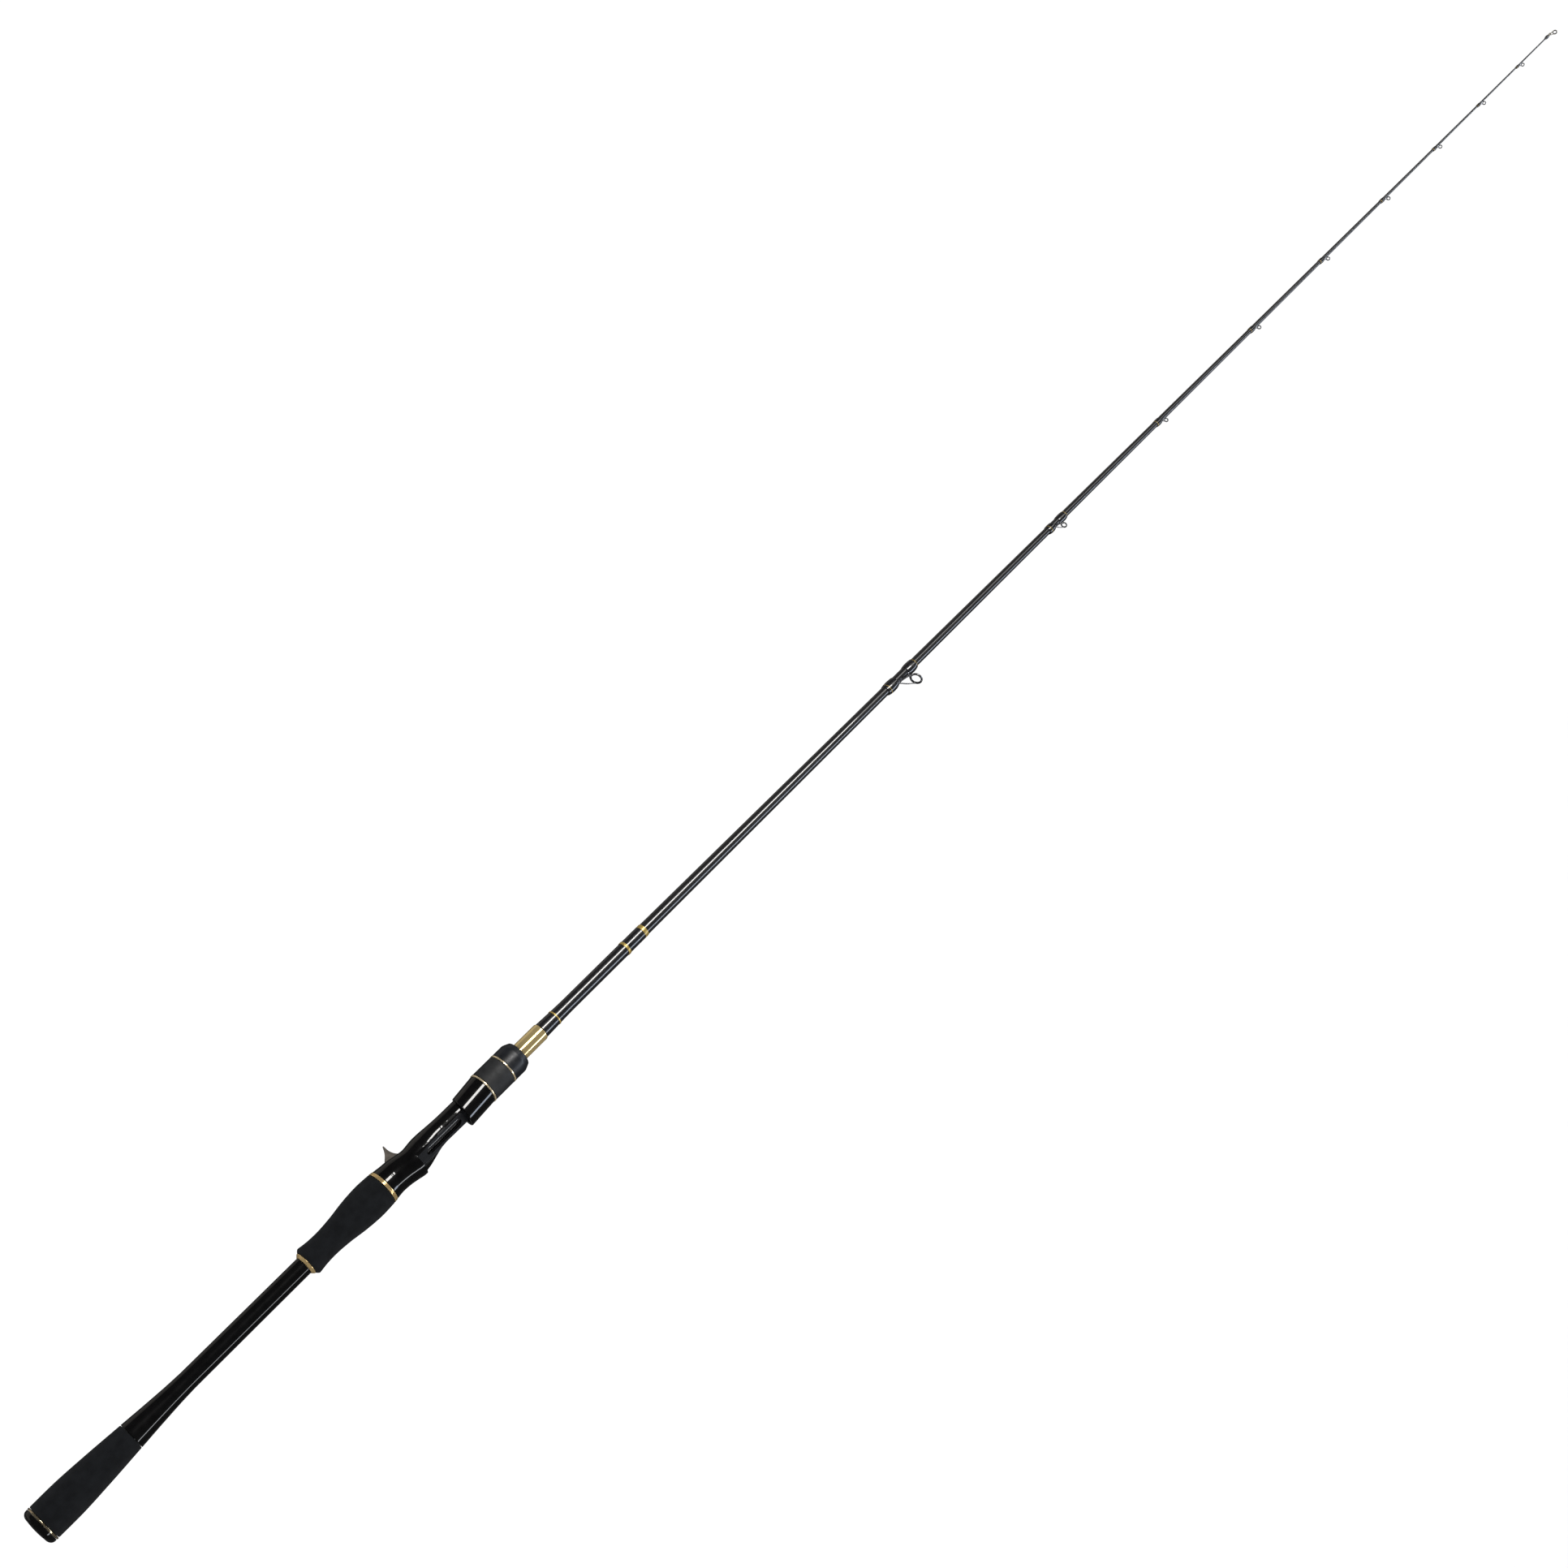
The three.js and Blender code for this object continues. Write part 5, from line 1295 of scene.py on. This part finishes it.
class ROD_OT_double_foot_guides(GuideOperator, bpy.types.Operator):
    """Makes the two large guides with two feet each, and their wraps"""

    bl_idname = "rod.double_foot_guides"
    bl_label = "Double-foot guides"

    def execute(self, context):
        look = wire_metal("guide_frame_large", self.colours.guide)
        glaze, epoxy = ceramic(self.colours.ceramic), thread_epoxy("wrap_epoxy_large", self.colours.thread)
        gold = metal_thread("gold_thread_large", self.colours.gold_thread)
        for number, shape in ((1, LARGE), (2, MIDDLE)):
            name = f"guide_{number}"
            x, z = ring_place(f"{name}_ring")
            self.add_ring(name, shape, self.double_foot(shape, x, z), look, glaze)
            length = np.ptp(span(f"{name}_front_wrap")[:2])
            self.add_wrap(f"{name}_rear_wrap", shape, epoxy, gold, at=0.2 * length, width=0.55)
            self.add_wrap(f"{name}_front_wrap", shape, epoxy, gold, at=length - 1.1, width=0.6)
        return {"FINISHED"}


class ROD_OT_single_foot_guides(GuideOperator, bpy.types.Operator):
    """Makes the seven small guides with one foot each, and their wraps"""

    bl_idname = "rod.single_foot_guides"
    bl_label = "Single-foot guides"

    def execute(self, context):
        look = wire_metal("guide_frame_small", self.colours.guide)
        glaze, epoxy = ceramic(self.colours.ceramic), thread_epoxy("wrap_epoxy_small", self.colours.thread)
        gold = metal_thread("gold_thread_small", self.colours.gold_thread)
        for number in range(3, 10):
            name = f"guide_{number}"
            x, z = ring_place(f"{name}_ring")
            self.add_ring(name, SMALL, self.single_foot(SMALL, x, z), look, glaze)
            self.add_wrap(f"{name}_wrap", SMALL, epoxy, gold, at=0.5, width=0.5)
        return {"FINISHED"}


class ROD_OT_tip_top(GuideOperator, bpy.types.Operator):
    """Makes the tip-top: a tube over the tip with two arms and a stem that carry the last ring"""

    bl_idname = "rod.tip_top"
    bl_label = "Tip-top"

    TUBE_LENGTH = 13
    TUBE_TO_RING = 6.5
    TUBE_WALL = 0.6
    WRAP_WALL = 0.35

    def wrap(self, x0, x1, tube_start, r):
        """A winding that climbs from the blank onto the tube and thins out at its front edge; its
        bore steps out where the tube begins."""
        x = stations(x0, x1, 40, 0.3)
        low = blank_radius(x0) + 0.1
        places = (x0, x0 + 1.5, tube_start - 0.5, x1 - 1.2, x1)
        outside = flowing(x, places, (low, low + 0.15, r - 0.1, r, r - 0.2))
        step = tube_start - FINE_FIT
        bore = [[x1, r - self.WRAP_WALL], [step, r - self.WRAP_WALL], [step, low - 0.1], [x0, low - 0.1]]
        return turned(np.vstack((np.stack((x, outside), axis=-1), bore)), 40)

    def execute(self, context):
        x, z = ring_place("tip_top_ring")
        end = x - self.TUBE_TO_RING
        start = end - self.TUBE_LENGTH
        hole = float(blank_radius(start)) + FINE_FIT
        outer = hole + self.TUBE_WALL
        bottom = BLANK_END + FINE_FIT
        corners = [[start, hole], [start, outer], [end, outer], [end, 0], [bottom, 0], [bottom, hole]]
        shells = [
            holder_shell(TIP, x, z),
            turned(rounded(corners, [0, 0.15, 0.6, 0, 0, 0], steps=7), 40),
        ]
        for side in (-1, 1):
            first = np.array([end - 0.9, side * 0.5 * outer, 0.3 * outer])
            last = on_holder(TIP, x, z, side * 110)
            middle = (first + last) / 2 + [0, side * 0.3, 0]
            shells.append(leg_shell([first, middle, last], TIP.wire))
        shells.append(leg_shell([[end - 0.8, 0, 0], on_holder(TIP, x, z, 180)], TIP.wire))
        look = wire_metal("tip_frame", self.colours.tip_top)
        self.add_ring("tip_top", TIP, shells, look, ceramic(self.colours.ceramic))

        x0, x1, r = span("tip_top_wrap")
        epoxy = thread_epoxy("wrap_epoxy_tip", self.colours.thread)
        add_turned("tip_top_wrap", self.wrap(x0, x1, start, r), material=epoxy, sharp=60)
        return {"FINISHED"}


# ---------------------------------------------------------------- operator: the studio


class ROD_OT_studio(bpy.types.Operator):
    """Sets up the pale floor, the soft lights and the camera"""

    bl_idname = "rod.studio"
    bl_label = "Studio"

    FLOOR_HALF = 40.0
    KEY = (0.0, 0.914, 0.407)
    COOL = (0.0, -0.276, 0.961)
    WARM_WHITE = (1.0, 0.985, 0.96)
    COOL_WHITE = (0.76, 0.85, 1.0)
    # Each strip: its direction from the rod, where it starts and ends, width, brightness, colour.
    STRIPS = {
        "key_seat": (KEY, 0.58, 0.66, 0.42, 20, WARM_WHITE),
        "key_bed": (KEY, 0.73, 0.78, 0.42, 20, WARM_WHITE),
        "key_hood": (KEY, 0.83, 1.85, 0.42, 20, WARM_WHITE),
        "key_far": (KEY, 1.85, 6.5, 0.26, 4.5, WARM_WHITE),
        "cool_sleeve": (COOL, -0.6, 0.9, 0.16, 7, (0.93, 0.96, 1.0)),
        "cool_far": (COOL, 0.9, 6.5, 0.32, 8, COOL_WHITE),
        "low_fill": ((0.0, 0.35, -0.937), -2.0, 7.0, 1.1, 0.25, (1.0, 0.93, 0.84)),
    }

    def strip(self, name, direction, start, end, width, glow, tone):
        """A long soft light parallel to the rod, so that round pieces mirror it as a line. Its
        watts are its brightness times pi times its area."""
        studio = bpy.context.scene.rod_studio
        data = bpy.data.lights.new(name, "AREA")
        data.shape, data.size, data.size_y = "RECTANGLE", end - start, width
        data.energy = studio.strips * glow * np.pi * (end - start) * width
        data.color = tone
        light = bpy.data.objects.new(name, data)
        outward, side = Vector(direction), Vector((1, 0, 0))
        axes = Matrix((side, outward.cross(side), outward)).transposed()
        middle = outward * studio.strip_distance + side * (start + end) / 2
        light.matrix_world = Matrix.Translation(middle) @ axes.to_4x4()
        light.visible_diffuse = False  # a strip only draws highlights; the tent lights the rod
        bpy.context.scene.collection.objects.link(light)

    def world(self):
        """White all round, but dark above the floor in mirrored light."""
        studio = bpy.context.scene.rod_studio
        world = bpy.data.worlds.new("studio")
        world.use_nodes = True
        nodes, links = world.node_tree.nodes, world.node_tree.links
        background = nodes["Background"]
        background.inputs["Color"].default_value = (1, 1, 1, 1)
        path = nodes.new("ShaderNodeLightPath")
        level = nodes.new("ShaderNodeMapRange")
        level.inputs["To Min"].default_value = studio.ambient
        level.inputs["To Max"].default_value = studio.mirrored
        links.new(path.outputs["Is Glossy Ray"], level.inputs["Value"])
        links.new(level.outputs["Result"], background.inputs["Strength"])
        bpy.context.scene.world = world

    def floor(self):
        studio = bpy.context.scene.rod_studio
        half = self.FLOOR_HALF
        corners = [(-half, -half), (half, -half), (half, half), (-half, half)]
        mesh = bpy.data.meshes.new("floor")
        mesh.from_pydata([(x, y, -studio.floor_drop) for x, y in corners], [], [(0, 1, 2, 3)])
        finish = Finish("floor_paper", Roughness=0.9, Specular_IOR_Level=0.1)
        finish.tint(finish.noise(6, 2), (0.93, 0.93, 0.93), (0.95, 0.95, 0.95))
        mesh.materials.append(finish.material)
        plane = shown("floor", mesh)
        plane.visible_glossy = False  # black lacquer mirrors the dark tent, not the paper

    def camera(self):
        studio = bpy.context.scene.rod_studio
        data = bpy.data.cameras.new("camera")
        data.lens, data.sensor_width = studio.lens, 36
        camera = bpy.data.objects.new("camera", data)
        place, aim = Vector(studio.camera_place), Vector(studio.camera_aim)
        look = (aim - place).to_track_quat("-Z", "Y")
        camera.rotation_mode = "QUATERNION"
        camera.rotation_quaternion = look @ Quaternion((0, 0, 1), studio.camera_roll)
        camera.location = place
        bpy.context.scene.collection.objects.link(camera)
        bpy.context.scene.camera = camera

    def execute(self, context):
        self.floor()
        self.world()
        for name, strip in self.STRIPS.items():
            self.strip(name, *strip)
        self.camera()
        context.scene.view_settings.view_transform = "Standard"
        return {"FINISHED"}


# ---------------------------------------------------------------- panel and registration

STEPS = (
    ROD_OT_inner_parts,
    ROD_OT_blank,
    ROD_OT_butt,
    ROD_OT_foam_grips,
    ROD_OT_rear_sleeve,
    ROD_OT_seat_ring,
    ROD_OT_reel_seat,
    ROD_OT_trigger,
    ROD_OT_moving_hood,
    ROD_OT_locking_nut,
    ROD_OT_collar_pipe,
    ROD_OT_label_winding,
    ROD_OT_double_foot_guides,
    ROD_OT_single_foot_guides,
    ROD_OT_tip_top,
    ROD_OT_studio,
)


class ROD_PT_maker(bpy.types.Panel):
    """Lists the rod's sizes, colours and steps"""

    bl_idname = "ROD_PT_maker"
    bl_label = "Casting rod"
    bl_space_type = "VIEW_3D"
    bl_region_type = "UI"
    bl_category = "Casting rod"

    def draw(self, context):
        for step in STEPS:
            self.layout.operator(step.bl_idname)
        for group in (context.scene.rod_sizes, context.scene.rod_colours, context.scene.rod_studio):
            box = self.layout.box()
            for key in group.__annotations__:
                box.prop(group, key)


GROUPS = {"rod_sizes": RodSizes, "rod_colours": RodColours, "rod_studio": RodStudio}


def register():
    for name, group in GROUPS.items():
        bpy.utils.register_class(group)
        setattr(bpy.types.Scene, name, PointerProperty(type=group))
    for cls in (*STEPS, ROD_PT_maker):
        bpy.utils.register_class(cls)


def unregister():
    for cls in (ROD_PT_maker, *reversed(STEPS)):
        bpy.utils.unregister_class(cls)
    for name, group in GROUPS.items():
        delattr(bpy.types.Scene, name)
        bpy.utils.unregister_class(group)


def main():
    register()
    for step in STEPS:
        family, name = step.bl_idname.split(".")
        getattr(getattr(bpy.ops, family), name)()


if __name__ == "__main__":
    main()
